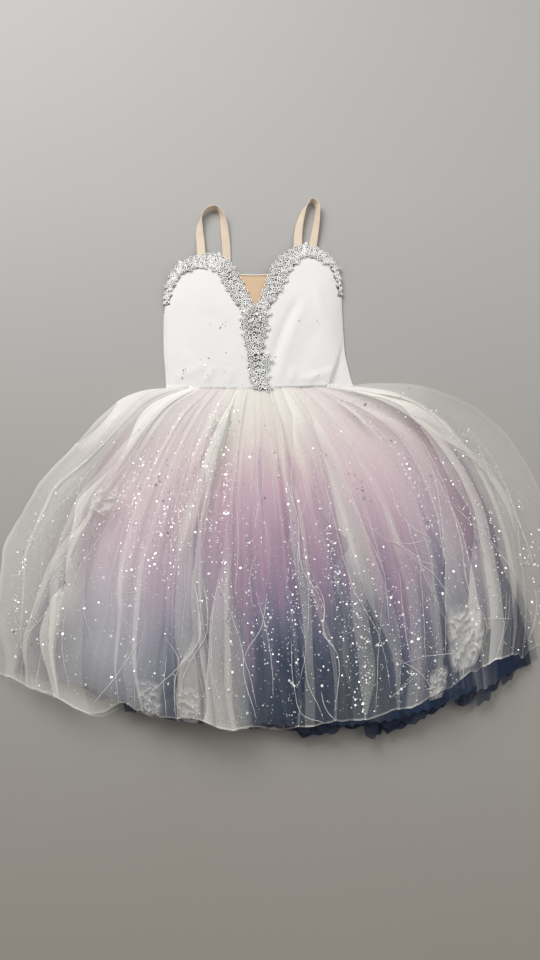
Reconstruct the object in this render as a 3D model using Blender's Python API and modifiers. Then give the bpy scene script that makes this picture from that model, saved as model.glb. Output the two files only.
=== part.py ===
"""A child's ballet dress, laid flat on its back on a floor.

The bodice is white stretch cloth with a sweetheart neck, a skin-coloured insert in the V, silver lace along
the neck edge and down the centre front, and two looped elastic straps. The skirt is three gathered tulle
tubes, one inside the other: a sheer overlay, a dyed layer and a dark underlayer.

Metres, +Z up, +Y from the hem towards the straps, and the floor at Z = 0 under the middle of the dress.
"""

import math
from collections import namedtuple

import bmesh
import bpy
import numpy as np
from mathutils import Vector

# Cloth
TULLE = 0.0010  # wall of each skirt layer
STRETCH = 0.0012  # wall of the bodice
MESH = 0.0010  # wall of the neck insert
ELASTIC = 0.0011  # wall of the straps
GAP = 0.0003  # between pieces that are sewn or lie together

# Bodice
WAIST_LEFT = Vector((-0.157, 0.078))
WAIST_RIGHT = Vector((0.110, 0.081))
WAIST_DIP = 0.004  # how far the middle of the waist seam lies below its ends
WAIST_SEAM = 0.0006  # clear space between bodice and skirt along the waist
SIDE_ROUNDING = 7.0  # the higher, the tighter the bodice front turns down to its side seams
BACK_TOP_SCOOP = 0.030  # how far the back neck dips below the underarms

# Straps
STRAP_WIDTH = 0.0127

# Skirt
SKIRT_FOLD = 0.0080  # height of the outermost layer's folded sides
COLUMNS_PER_PLEAT = 4
ARC_STEPS = 3  # faces round each folded side

# The edge of the front, from each underarm up the armhole, over the cup and down to the bottom of the V
EdgeRow = namedtuple("EdgeRow", "share x y")
LEFT_ARMHOLE = 0.07  # the share of the edge that is armhole, where it ends and the cup begins
LEFT_CUP = [
    EdgeRow(0.00, -0.166, 0.203),
    EdgeRow(0.07, -0.164, 0.239),
    EdgeRow(0.15, -0.155, 0.269),
    EdgeRow(0.27, -0.136, 0.288),
    EdgeRow(0.42, -0.112, 0.298),
    EdgeRow(0.56, -0.091, 0.299),
    EdgeRow(0.68, -0.071, 0.287),
    EdgeRow(0.79, -0.058, 0.263),
    EdgeRow(0.90, -0.044, 0.232),
    EdgeRow(1.00, -0.030, 0.202),
]
RIGHT_ARMHOLE = 0.05
RIGHT_CUP = [
    EdgeRow(0.00, 0.098, 0.214),
    EdgeRow(0.05, 0.098, 0.250),
    EdgeRow(0.11, 0.093, 0.279),
    EdgeRow(0.20, 0.083, 0.296),
    EdgeRow(0.32, 0.062, 0.310),
    EdgeRow(0.45, 0.041, 0.315),
    EdgeRow(0.59, 0.018, 0.300),
    EdgeRow(0.73, 0.000, 0.275),
    EdgeRow(0.85, -0.010, 0.250),
    EdgeRow(1.00, -0.030, 0.202),
]

# The side seams and the height of the front's middle, from the waist up
BodiceRow = namedtuple("BodiceRow", "y left right puff")
BODICE = [
    BodiceRow(0.070, -0.1565, 0.1110, 0.0110),
    BodiceRow(0.105, -0.1600, 0.1035, 0.0135),
    BodiceRow(0.140, -0.1640, 0.0985, 0.0150),
    BodiceRow(0.205, -0.1665, 0.0975, 0.0160),
    BodiceRow(0.260, -0.1665, 0.0985, 0.0140),
    BodiceRow(0.325, -0.1665, 0.0985, 0.0095),
]

# Lace down the centre front, and the width of the lace along the cups
CentreLaceRow = namedtuple("CentreLaceRow", "y left right")
CENTRE_LACE = [
    CentreLaceRow(0.200, -0.055, -0.005),
    CentreLaceRow(0.191, -0.054, -0.006),
    CentreLaceRow(0.183, -0.052, -0.010),
    CentreLaceRow(0.169, -0.045, -0.018),
    CentreLaceRow(0.153, -0.046, -0.018),
    CentreLaceRow(0.137, -0.042, -0.018),
    CentreLaceRow(0.120, -0.041, -0.009),
    CentreLaceRow(0.104, -0.038, -0.014),
    CentreLaceRow(0.089, -0.037, -0.013),
    CentreLaceRow(0.0775, -0.032, -0.003),
]
LaceRow = namedtuple("LaceRow", "share width")
LEFT_LACE = [
    LaceRow(0.00, 0.007),
    LaceRow(0.10, 0.014),
    LaceRow(0.30, 0.023),
    LaceRow(0.55, 0.024),
    LaceRow(0.80, 0.027),
    LaceRow(1.00, 0.022),
]
RIGHT_LACE = [
    LaceRow(0.00, 0.006),
    LaceRow(0.10, 0.015),
    LaceRow(0.30, 0.022),
    LaceRow(0.50, 0.023),
    LaceRow(0.80, 0.028),
    LaceRow(1.00, 0.020),
]
LACE_BASE = 0.0012  # thickness of the lace between its flowers
LACE_RELIEF = 0.0016  # how far the flowers stand above that
LACE_OVERHANG = 0.0020  # how far the lace reaches past the neck edge
LACE_FLOWER = 0.016  # spacing of the flowers
LACE_START, LACE_END = 0.03, 0.975  # where along the cup's edge the lace begins and ends
CENTRE_FLOWERS = 7.5  # flowers down the centre lace
CENTRE_SCALLOP = 0.0022  # how far its flowers reach past its edges
CENTRE_TOP = 0.1995  # its peak, just under the bottom of the V
CENTRE_DROP = 0.0115  # how far its top slopes down to each side, along the ends of the cups' lace

# Each strap's middle line, from behind the cup round to the inside of the back. turn is the angle that its
# face is turned from flat, in degrees. Its first two points are set behind the front, whatever their z.
StrapRow = namedtuple("StrapRow", "x y z turn")
LEFT_STRAP = [
    StrapRow(-0.1110, 0.2800, 0.0110, 1),
    StrapRow(-0.1125, 0.2990, 0.0100, 1),
    StrapRow(-0.1150, 0.3260, 0.0048, 8),
    StrapRow(-0.1172, 0.3500, 0.0046, 34),
    StrapRow(-0.1150, 0.3690, 0.0066, 74),
    StrapRow(-0.1050, 0.3830, 0.0070, 90),
    StrapRow(-0.0925, 0.3860, 0.0070, 92),
    StrapRow(-0.0840, 0.3740, 0.0068, 118),
    StrapRow(-0.0800, 0.3560, 0.0046, 150),
    StrapRow(-0.0770, 0.3330, 0.0030, 172),
    StrapRow(-0.0750, 0.3050, 0.00205, 180),
    StrapRow(-0.0750, 0.2600, 0.00205, 180),
    StrapRow(-0.0760, 0.2100, 0.00205, 180),
    StrapRow(-0.0770, 0.1740, 0.00205, 180),
]
RIGHT_STRAP = [
    StrapRow(0.0330, 0.2940, 0.0105, 0),
    StrapRow(0.0335, 0.3180, 0.0090, 0),
    StrapRow(0.0345, 0.3420, 0.0054, 16),
    StrapRow(0.0390, 0.3680, 0.0060, 40),
    StrapRow(0.0470, 0.3900, 0.0066, 66),
    StrapRow(0.0560, 0.3997, 0.0070, 92),
    StrapRow(0.0630, 0.3940, 0.0070, 116),
    StrapRow(0.0640, 0.3740, 0.0064, 128),
    StrapRow(0.0610, 0.3500, 0.0052, 142),
    StrapRow(0.0565, 0.3220, 0.0034, 166),
    StrapRow(0.0530, 0.2950, 0.00205, 180),
    StrapRow(0.0500, 0.2500, 0.00205, 180),
    StrapRow(0.0480, 0.2100, 0.00205, 180),
    StrapRow(0.0470, 0.1740, 0.00205, 180),
]
STRAP_STEPS = 34

# Lines across the skirt. down is 0 at the waist and 1 at the hem; each line runs left, mid, right.
SkirtRow = namedtuple("SkirtRow", "down left_x left_y mid_x mid_y right_x right_y")
SKIRT = [
    SkirtRow(0.00, -0.153, 0.0770, -0.022, 0.0725, 0.106, 0.0800),
    SkirtRow(0.05, -0.181, 0.0735, -0.021, 0.0480, 0.136, 0.0840),
    SkirtRow(0.12, -0.217, 0.0580, -0.019, 0.0150, 0.178, 0.0830),
    SkirtRow(0.30, -0.275, -0.0100, -0.016, -0.0680, 0.263, 0.0550),
    SkirtRow(0.50, -0.327, -0.0800, -0.010, -0.1620, 0.333, -0.0220),
    SkirtRow(0.70, -0.358, -0.1600, -0.003, -0.2560, 0.359, -0.1180),
    SkirtRow(0.85, -0.360, -0.2370, 0.001, -0.3250, 0.360, -0.2020),
    SkirtRow(1.00, -0.347, -0.3250, 0.004, -0.3890, 0.343, -0.2970),
]

# Height over the floor of each front layer's middle, and half the depth of its pleats
HeightRow = namedtuple("HeightRow", "down overlay overlay_pleat dyed dyed_pleat under under_pleat")
HEIGHTS = [
    HeightRow(0.00, 0.0122, 0.0000, 0.0107, 0.0000, 0.0092, 0.0000),
    HeightRow(0.06, 0.0205, 0.0011, 0.0160, 0.0008, 0.0126, 0.0005),
    HeightRow(0.15, 0.0330, 0.0034, 0.0238, 0.0022, 0.0174, 0.0014),
    HeightRow(0.30, 0.0465, 0.0050, 0.0332, 0.0034, 0.0236, 0.0022),
    HeightRow(0.50, 0.0525, 0.0058, 0.0382, 0.0040, 0.0276, 0.0026),
    HeightRow(0.70, 0.0510, 0.0060, 0.0362, 0.0040, 0.0256, 0.0026),
    HeightRow(0.85, 0.0460, 0.0055, 0.0322, 0.0036, 0.0226, 0.0024),
    HeightRow(1.00, 0.0390, 0.0046, 0.0270, 0.0032, 0.0182, 0.0022),
]

# How far across the overlay the inner layers reach, as a share of its half width
ReachRow = namedtuple("ReachRow", "down dyed under")
REACH = [
    ReachRow(0.00, 0.962, 0.930),
    ReachRow(0.05, 0.925, 0.885),
    ReachRow(0.12, 0.882, 0.848),
    ReachRow(0.30, 0.860, 0.840),
    ReachRow(0.50, 0.840, 0.818),
    ReachRow(0.70, 0.840, 0.818),
    ReachRow(0.85, 0.885, 0.862),
    ReachRow(1.00, 0.955, 0.930),
]

# How much further than the hem line each layer hangs, across from left (-1) to right (1), in metres
HemRow = namedtuple("HemRow", "across longer")
OVERLAY_HEM = [
    HemRow(-1.00, 0.000),
    HemRow(-0.83, 0.002),
    HemRow(-0.65, 0.009),
    HemRow(-0.52, -0.010),
    HemRow(-0.31, -0.004),
    HemRow(0.14, 0.002),
    HemRow(0.32, 0.000),
    HemRow(0.57, -0.003),
    HemRow(0.69, -0.022),
    HemRow(0.82, -0.014),
    HemRow(1.00, -0.010),
]
DYED_HEM = [
    HemRow(-1.00, -0.010),
    HemRow(-0.70, -0.022),
    HemRow(-0.45, -0.006),
    HemRow(0.00, -0.008),
    HemRow(0.40, 0.010),
    HemRow(0.75, 0.004),
    HemRow(1.00, -0.004),
]
UNDER_HEM = [
    HemRow(-1.00, -0.012),
    HemRow(-0.62, -0.014),
    HemRow(-0.48, 0.004),
    HemRow(-0.20, -0.001),
    HemRow(0.10, 0.010),
    HemRow(0.30, 0.009),
    HemRow(0.42, 0.024),
    HemRow(0.55, 0.022),
    HemRow(0.70, 0.011),
    HemRow(1.00, 0.008),
]

# The skirt layers, outermost first. fold is the height of a layer's folded sides, floor its underside.
Layer = namedtuple("Layer", "name column pleats back_columns rows floor fold hem scallop phase")
LAYERS = [
    Layer("skirt_overlay", "overlay", 22, 14, 12, 0.0, SKIRT_FOLD, OVERLAY_HEM, 0.0030, 0.0),
    Layer("skirt_dyed", "dyed", 18, 12, 10, TULLE + GAP, SKIRT_FOLD - 2 * (TULLE + GAP),
          DYED_HEM, 0.0040, 1.9),
    Layer("skirt_underlayer", "under", 16, 12, 7, 2 * (TULLE + GAP), SKIRT_FOLD - 4 * (TULLE + GAP),
          UNDER_HEM, 0.0050, 4.1),
]


def smooth_curve(places, values, rounded=False):
    """A function that runs smoothly through a table's values, with no overshoot unless it is rounded."""
    places = np.array(places, float)
    values = np.array(values, float)
    step = np.diff(places)
    slope = np.diff(values) / step
    tangent = np.zeros(len(values))
    for i in range(1, len(values) - 1):
        if rounded:
            tangent[i] = (slope[i - 1] * step[i] + slope[i] * step[i - 1]) / (step[i - 1] + step[i])
        elif slope[i - 1] * slope[i] > 0:
            tangent[i] = 2 * slope[i - 1] * slope[i] / (slope[i - 1] + slope[i])
    tangent[0], tangent[-1] = slope[0], slope[-1]

    def value(place):
        i = int(np.clip(np.searchsorted(places, place) - 1, 0, len(step) - 1))
        t = min(max((place - places[i]) / step[i], 0.0), 1.0)
        held = values[i] * (1 + 2 * t) * (1 - t) ** 2 + values[i + 1] * t * t * (3 - 2 * t)
        turned = tangent[i] * t * (1 - t) ** 2 - tangent[i + 1] * t * t * (1 - t)
        return float(held + step[i] * turned)

    return value


def curve_of(rows, place, name, rounded=False):
    """The smooth curve of one column of a table."""
    return smooth_curve([getattr(r, place) for r in rows], [getattr(r, name) for r in rows], rounded)


# Bodice forms
side_left = curve_of(BODICE, "y", "left")
side_right = curve_of(BODICE, "y", "right")
bodice_puff = curve_of(BODICE, "y", "puff")
LEFT_EDGE = tuple(curve_of(LEFT_CUP, "share", n, rounded=True) for n in ("x", "y"))
RIGHT_EDGE = tuple(curve_of(RIGHT_CUP, "share", n, rounded=True) for n in ("x", "y"))
SIDE_SEAM_HEIGHT = STRETCH + GAP + STRETCH / 2  # the front's middle surface where it meets the back


def front_height(x, y):
    """Height of the bodice front's middle surface over the floor."""
    rounding = max(0.0, 1 - abs(across_at(x, y)) ** SIDE_ROUNDING)
    return SIDE_SEAM_HEIGHT + (bodice_puff(y) - SIDE_SEAM_HEIGHT) * rounding


def off_front(x, y, out):
    """The point that stands out from the front's middle surface at (x, y), square to it."""
    step = 0.0005
    slope_x = (front_height(x + step, y) - front_height(x - step, y)) / (2 * step)
    slope_y = (front_height(x, y + step) - front_height(x, y - step)) / (2 * step)
    normal = Vector((-slope_x, -slope_y, 1.0)).normalized()
    return Vector((x, y, front_height(x, y))) + normal * out


def neck_edge(across):
    """The point of the neck edge over a place across the front, from -1 at the left side to 1."""
    edge, armhole = (LEFT_EDGE, LEFT_ARMHOLE) if across < 0 else (RIGHT_EDGE, RIGHT_ARMHOLE)
    share = 1 - abs(across) * (1 - armhole)
    return Vector((edge[0](share), edge[1](share)))


def across_at(x, y):
    """Where x lies between the side seams at y, from -1 at the left seam to 1 at the right."""
    left, right = side_left(y), side_right(y)
    return (2 * x - left - right) / (right - left)


def bodice_point(across, up, top):
    """A point of a bodice panel, up being 0 at the waist seam and 1 at its top edge."""
    bottom = WAIST_LEFT.lerp(WAIST_RIGHT, (across + 1) / 2)
    bottom.y -= WAIST_DIP * (1 - across * across)
    y = bottom.y + (top.y - bottom.y) * up
    there = across_at(bottom.x, bottom.y) * (1 - up) + across_at(top.x, top.y) * up
    left, right = side_left(y), side_right(y)
    return Vector(((left + right) / 2 + there * (right - left) / 2, y))


# Building
def new_object(name, bm, colour, roughness, metallic=0.0):
    """An object with its own material, from a bmesh whose doubles are merged."""
    mesh = bpy.data.meshes.new(name)
    bm.to_mesh(mesh)
    bm.free()
    mesh.shade_smooth()
    material = bpy.data.materials.new(name)
    material.use_nodes = True
    shader = material.node_tree.nodes["Principled BSDF"]
    shader.inputs["Base Color"].default_value = (*colour, 1.0)
    shader.inputs["Roughness"].default_value = roughness
    shader.inputs["Metallic"].default_value = metallic
    mesh.materials.append(material)
    obj = bpy.data.objects.new(name, mesh)
    DRESS.objects.link(obj)
    return obj


def formed_grid(place, u_steps, v_steps):
    """A grid whose vertices are moved to place(u, v), with u and v from 0 to 1."""
    bm = bmesh.new()
    bmesh.ops.create_grid(bm, x_segments=u_steps, y_segments=v_steps, size=0.5)
    for vertex in bm.verts:
        vertex.co = place(vertex.co.x + 0.5, vertex.co.y + 0.5)
    return bm


def thicken(obj, wall):
    """Gives an open surface its wall, half to each side."""
    solidify = obj.modifiers.new("wall", "SOLIDIFY")
    solidify.thickness = wall
    solidify.offset = 0.0
    solidify.use_even_offset = False


def formed_slab(under, over, u_steps, v_steps):
    """A closed slab between two surfaces, under(u, v) and over(u, v)."""
    bm = bmesh.new()
    bmesh.ops.create_grid(bm, x_segments=u_steps, y_segments=v_steps, size=0.5)
    lower = list(bm.verts)
    lifted = bmesh.ops.extrude_face_region(bm, geom=bm.faces[:])
    upper = [item for item in lifted["geom"] if isinstance(item, bmesh.types.BMVert)]
    for vertices, place in ((lower, under), (upper, over)):
        for vertex in vertices:
            vertex.co = place(vertex.co.x + 0.5, vertex.co.y + 0.5)
    bmesh.ops.recalc_face_normals(bm, faces=bm.faces)
    return bm


def bodice_front():
    """The front panel, from the waist seam up to the sweetheart neck edge."""

    def place(u, v):
        across = math.sin((u - 0.5) * math.pi) * 0.5 + (2 * u - 1) * 0.5
        point = bodice_point(across, v, neck_edge(across))
        return Vector((point.x, point.y, front_height(point.x, point.y)))

    front = new_object("bodice_front", formed_grid(place, 28, 9), (0.90, 0.90, 0.89), 0.6)
    thicken(front, STRETCH)


def bodice_back():
    """The back panel, flat on the floor, with a plain scooped neck."""
    left_top = Vector((LEFT_CUP[0].x, LEFT_CUP[0].y))
    right_top = Vector((RIGHT_CUP[0].x, RIGHT_CUP[0].y))

    def place(u, v):
        across = 2 * u - 1
        top = left_top.lerp(right_top, u)
        top.y -= BACK_TOP_SCOOP * (1 - across**2) ** 2
        point = bodice_point(across, v, top)
        return Vector((point.x, point.y, STRETCH / 2))

    back = new_object("bodice_back", formed_grid(place, 12, 8), (0.90, 0.90, 0.89), 0.6)
    thicken(back, STRETCH)


def neck_insert():
    """The skin-coloured mesh that fills the V, behind the edges of the front."""
    top_y, bottom_y = 0.2625, 0.1950
    lap = 0.0085  # how far it reaches behind the front on each side
    shoulder = curve_of(sorted(LEFT_CUP, key=lambda r: -r.share)[:4], "y", "x")
    other_shoulder = curve_of(sorted(RIGHT_CUP, key=lambda r: -r.share)[:4], "y", "x")
    drop = STRETCH / 2 + 2 * GAP + MESH / 2

    def place(u, v):
        y = bottom_y + (top_y - bottom_y) * v
        left, right = shoulder(max(y, 0.202)) - lap, other_shoulder(max(y, 0.202)) + lap
        x = left + (right - left) * u
        y -= 0.0015 * v * math.sin(math.pi * u)
        return off_front(x, y, -drop)

    insert = new_object("neck_insert", formed_grid(place, 8, 6), (0.79, 0.61, 0.45), 0.7)
    thicken(insert, MESH)


def lace_surfaces(outline):
    """The under and over surfaces of lace, whose outline(u, v) gives its plan and its flower height."""
    lift = STRETCH / 2 + GAP

    def under(u, v):
        x, y, _ = outline(u, v)
        return off_front(x, y, lift)

    def over(u, v):
        x, y, flower = outline(u, v)
        return off_front(x, y, lift + LACE_BASE + LACE_RELIEF * flower)

    return under, over


def cup_lace(name, edge, widths, inward, steps):
    """Lace along one cup, from the underarm to the bottom of the V."""
    width = curve_of(widths, "share", "width")
    shares = np.linspace(LACE_START, LACE_END, 200)
    points = [Vector((edge[0](s), edge[1](s))) for s in shares]
    runs = np.concatenate([[0], np.cumsum([(b - a).length for a, b in zip(points, points[1:])])])
    length = float(runs[-1])
    flowers = round(length / LACE_FLOWER)

    def outline(u, v):
        share = float(np.interp(u * length, runs, shares))
        here = Vector((edge[0](share), edge[1](share)))
        step = 0.05
        low, high = max(share - step, 0.0), min(share + step, 1.0)
        along = Vector((edge[0](high) - edge[0](low), edge[1](high) - edge[1](low))).normalized()
        side = Vector((along.y, -along.x)) * inward
        beat = math.cos(2 * math.pi * flowers * u)
        reach = width(share) + 0.0016 * beat
        overhang = (LACE_OVERHANG + 0.0008 * beat) * min(1.0, 6 * (LACE_END - share))
        point = here + side * (-overhang + (reach + overhang) * v)
        flower = (0.5 + 0.5 * beat) * math.sin(math.pi * (0.1 + 0.8 * v))
        return point.x, point.y, flower

    under, over = lace_surfaces(outline)
    new_object(name, formed_slab(under, over, steps, 4), (0.70, 0.71, 0.72), 0.35, 0.6)


def centre_lace():
    """Lace down the centre front, from the bottom of the V to the waist."""
    left = curve_of(CENTRE_LACE[::-1], "y", "left")
    right = curve_of(CENTRE_LACE[::-1], "y", "right")
    bottom = CENTRE_LACE[-1].y

    def outline(u, v):
        top = CENTRE_TOP - CENTRE_DROP * abs(2 * u - 1)
        y = bottom + (top - bottom) * v
        beat = math.cos(2 * math.pi * CENTRE_FLOWERS * v)
        taper = min(1.0, 8 * (1 - v), 8 * v)
        near = left(y) - CENTRE_SCALLOP * beat * taper
        far = right(y) + CENTRE_SCALLOP * beat * taper
        flower = (0.5 + 0.5 * beat) * math.sin(math.pi * (0.1 + 0.8 * u))
        return near + (far - near) * u, y, flower

    under, over = lace_surfaces(outline)
    new_object("lace_centre", formed_slab(under, over, 4, 30), (0.70, 0.71, 0.72), 0.35, 0.6)


def strap(name, rows):
    """An elastic strap, a flat band that turns on edge round its loop."""
    tuck = STRETCH / 2 + 2 * GAP + ELASTIC / 2
    heights = [front_height(r.x, r.y) - tuck for r in rows[:2]] + [r.z for r in rows[2:]]
    rows = [r._replace(z=z) for r, z in zip(rows, heights)]
    points = [Vector((r.x, r.y, r.z)) for r in rows]
    runs = np.concatenate([[0], np.cumsum([(b - a).length for a, b in zip(points, points[1:])])])
    curves = {n: smooth_curve(runs, [getattr(r, n) for r in rows], rounded=n in "xy")
              for n in ("x", "y", "z", "turn")}
    length = float(runs[-1])

    def middle(run):
        return Vector((curves["x"](run), curves["y"](run), curves["z"](run)))

    def place(u, v):
        run = u * length
        along = (middle(min(run + 0.003, length)) - middle(max(run - 0.003, 0.0))).normalized()
        level = Vector((along.y, -along.x, 0.0)).normalized()
        turn = math.radians(curves["turn"](run))
        across = level * math.cos(turn) + Vector((0.0, 0.0, 1.0)) * math.sin(turn)
        point = middle(run) + across * (v - 0.5) * STRAP_WIDTH
        return point

    band = new_object(name, formed_grid(place, STRAP_STEPS, 2), (0.80, 0.67, 0.53), 0.75)
    thicken(band, ELASTIC)


# Skirt forms
skirt_columns = {n: curve_of(SKIRT, "down", n) for n in SkirtRow._fields[1:]}
height_columns = {n: curve_of(HEIGHTS, "down", n) for n in HeightRow._fields[1:]}
reach_columns = {n: curve_of(REACH, "down", n) for n in ReachRow._fields[1:]}
SKIRT_LENGTH = 0.462  # from the waist to the hem line down the middle


def skirt_plan(across, down):
    """The plan of the skirt: a fan of lines that run from the waist (down 0) to the hem line (1)."""
    held = min(max(down, 0.0), 1.0)
    left, mid, right = (
        Vector((skirt_columns[side + "_x"](held), skirt_columns[side + "_y"](held)))
        for side in ("left", "mid", "right")
    )
    point = mid + (right - left) * (across / 2) + ((left + right) / 2 - mid) * across**2
    if down > 1.0:
        point += (point - skirt_plan(across, 0.97)) * ((down - 1.0) / 0.03)
    return point


def pleat_place(share, pleats, phase):
    """Where a place in the row of pleats lies across the skirt: pleats are uneven in width."""
    drift = 0.012 * math.sin(2 * math.pi * 3 * share + phase)
    drift += (0.16 / pleats) * math.sin(2 * math.pi * 7 * share + 2 * phase)
    return 2 * (share + drift * math.sin(math.pi * share)) - 1


def pleat_depth(share, pleats, phase):
    """Pleats are uneven in depth too."""
    count = share * pleats
    return 0.68 + 0.20 * math.sin(1.9 * count + phase) + 0.12 * math.sin(0.83 * count + 2.1 + phase)


def layer_columns(layer):
    """The section of a layer as (kind, amount) in order round its tube."""
    fronts = layer.pleats * COLUMNS_PER_PLEAT
    columns = [("front", i / fronts) for i in range(fronts + 1)]
    columns += [("right", i / ARC_STEPS) for i in range(1, ARC_STEPS)]
    columns += [("back", 1 - i / layer.back_columns) for i in range(layer.back_columns + 1)]
    columns += [("left", 1 - i / ARC_STEPS) for i in range(1, ARC_STEPS)]
    columns.append(("front", 0.0))
    return columns


def skirt_layer(layer, colour, roughness):
    """One tulle tube, pleated over its front and flat under its back."""
    columns = layer_columns(layer)
    hem = curve_of(layer.hem, "across", "longer")
    underside = layer.floor + TULLE / 2
    sides = {"left": -1.0, "right": 1.0}

    def place(u, v):
        kind, amount = columns[round(u * (len(columns) - 1))]
        along = v**1.15
        reach = reach_columns[layer.column] if layer.column != "overlay" else (lambda down: 1.0)
        if kind in sides:
            share_across = sides[kind]
        elif kind == "back":
            share_across = 2 * amount - 1
        else:
            share_across = pleat_place(amount, layer.pleats, layer.phase)
        wave = math.cos(2 * math.pi * layer.pleats * amount) if kind == "front" else 0.0
        longer = hem(share_across) + layer.scallop * wave
        down = along * (1 + longer / SKIRT_LENGTH)
        across = share_across * reach(min(down, 1.0))
        if kind == "front":
            across += 0.010 * math.sin(4.2 * along + 9 * amount + layer.phase) * along * (1 - across**2)
        point = skirt_plan(across, down)
        if kind == "back":
            return Vector((point.x, point.y, underside))
        middle = height_columns[layer.column](min(down, 1.0))
        depth = height_columns[layer.column + "_pleat"](min(down, 1.0))
        if kind == "front":
            rounding = (1 - share_across**4) ** 0.75
            lift = (middle - underside - layer.fold) * rounding
            pleat = depth * pleat_depth(amount, layer.pleats, layer.phase) * wave * rounding
            return Vector((point.x, point.y, underside + layer.fold + lift + pleat))
        inner = skirt_plan(across * 0.98, down)
        outward = (point - inner).normalized()
        angle = math.pi * amount
        point += outward * (layer.fold / 2) * math.sin(angle)
        return Vector((point.x, point.y, underside + layer.fold * (1 + math.cos(angle)) / 2))

    bm = formed_grid(place, len(columns) - 1, layer.rows)
    bmesh.ops.remove_doubles(bm, verts=bm.verts, dist=0.00001)
    bmesh.ops.recalc_face_normals(bm, faces=bm.faces)
    thicken(new_object(layer.name, bm, colour, roughness), TULLE)


for old in list(bpy.data.objects):
    bpy.data.objects.remove(old, do_unlink=True)
DRESS = bpy.data.collections.new("Ballet dress")
bpy.context.scene.collection.children.link(DRESS)

bodice_back()
bodice_front()
neck_insert()
cup_lace("lace_left", LEFT_EDGE, LEFT_LACE, 1, 44)
cup_lace("lace_right", RIGHT_EDGE, RIGHT_LACE, -1, 44)
centre_lace()
strap("strap_left", LEFT_STRAP)
strap("strap_right", RIGHT_STRAP)
skirt_layer(LAYERS[0], (0.86, 0.85, 0.84), 0.5)
skirt_layer(LAYERS[1], (0.66, 0.56, 0.68), 0.7)
skirt_layer(LAYERS[2], (0.16, 0.20, 0.31), 0.7)
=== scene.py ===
"""The looks of a child's ballet dress that lies flat on its back on a pale floor.

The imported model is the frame. Each piece is built on the same forms as its solid, only finer: the bodice with
its creases, the lace from cords, rings and beads, the looped elastic straps, and a skirt of three kinds of
tulle with sequins. Metres, +Z up, +Y from the hem towards the straps.
"""

from __future__ import annotations

import logging
import math
import random
from collections.abc import Callable, Iterable, Sequence
from dataclasses import dataclass
from enum import Enum

import bmesh
import bpy
import numpy as np
from mathutils import Matrix, Vector, noise
from mathutils.bvhtree import BVHTree


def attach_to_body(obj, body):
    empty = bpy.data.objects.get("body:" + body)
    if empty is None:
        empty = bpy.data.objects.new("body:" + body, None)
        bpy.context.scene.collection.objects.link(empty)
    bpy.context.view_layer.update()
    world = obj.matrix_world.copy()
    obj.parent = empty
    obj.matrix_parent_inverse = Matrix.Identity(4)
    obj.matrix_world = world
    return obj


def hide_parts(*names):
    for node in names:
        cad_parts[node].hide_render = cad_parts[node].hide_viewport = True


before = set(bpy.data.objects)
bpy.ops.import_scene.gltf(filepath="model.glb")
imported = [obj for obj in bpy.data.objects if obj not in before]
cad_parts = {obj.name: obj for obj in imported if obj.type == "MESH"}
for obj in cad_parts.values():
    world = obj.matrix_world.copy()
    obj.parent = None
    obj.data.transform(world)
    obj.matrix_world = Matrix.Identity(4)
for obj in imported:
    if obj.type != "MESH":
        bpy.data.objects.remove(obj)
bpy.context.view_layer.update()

log = logging.getLogger("ballet_dress")

Colour = tuple[float, float, float]
Place = Callable[[float, float], Vector]

GAP = 0.0003  # between pieces that are sewn or lie together


class Side(Enum):
    """The wearer's straps, cups and seams as the photo shows them."""

    LEFT = -1
    RIGHT = 1


# Forms


class SmoothCurve:
    """A value that runs smoothly through the rows of a table."""

    def __init__(self, places: Sequence[float], values: Sequence[float], rounded: bool = False) -> None:
        """Fits the curve.

        Args:
            places: Where each row lies, in rising order.
            values: The value at each row.
            rounded: Whether the curve may swing a little past its rows, as an outline does.
        """
        self.places = np.array(places, float)
        self.values = np.array(values, float)
        self.step = np.diff(self.places)
        slope = np.diff(self.values) / self.step
        self.tangent = np.zeros(len(self.values))
        for i in range(1, len(self.values) - 1):
            before, after = self.step[i - 1], self.step[i]
            if rounded:
                self.tangent[i] = (slope[i - 1] * after + slope[i] * before) / (before + after)
            elif slope[i - 1] * slope[i] > 0:
                self.tangent[i] = 2 * slope[i - 1] * slope[i] / (slope[i - 1] + slope[i])
        self.tangent[0], self.tangent[-1] = slope[0], slope[-1]

    def __call__(self, place: float) -> float:
        """The value at a place, held at the table's ends."""
        i = min(max(int(np.searchsorted(self.places, place)) - 1, 0), len(self.step) - 1)
        t = min(max((place - self.places[i]) / self.step[i], 0.0), 1.0)
        held = self.values[i] * (1 + 2 * t) * (1 - t) ** 2 + self.values[i + 1] * t * t * (3 - 2 * t)
        turned = self.tangent[i] * t * (1 - t) ** 2 - self.tangent[i + 1] * t * t * (1 - t)
        return float(held + self.step[i] * turned)


def smooth_step(low: float, high: float, value: float) -> float:
    """A soft switch from 0 below low to 1 above high."""
    t = min(max((value - low) / (high - low), 0.0), 1.0)
    return t * t * (3 - 2 * t)


@dataclass(frozen=True)
class Crease:
    """A soft ridge or groove in the bodice cloth, along a line between two points."""

    start: tuple[float, float]
    end: tuple[float, float]
    bow: float  # how far the line bends to its right
    width: float
    height: float

    def rise(self, x: float, y: float) -> float:
        """How far the crease lifts the cloth at a point.

        Args:
            x: The point's place to the right.
            y: The point's place towards the straps.

        Returns:
            The lift in metres, below zero in a groove.
        """
        run = Vector(self.end) - Vector(self.start)
        along = (Vector((x, y)) - Vector(self.start)).dot(run) / run.length_squared
        if not -0.25 < along < 1.25:
            return 0.0
        side = (Vector((x, y)) - Vector(self.start)).cross(run) / run.length
        side -= self.bow * 4 * along * (1 - along)
        fade = smooth_step(-0.2, 0.2, along) * (1 - smooth_step(0.8, 1.2, along))
        return self.height * fade * math.exp(-((side / self.width) ** 2))


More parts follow.
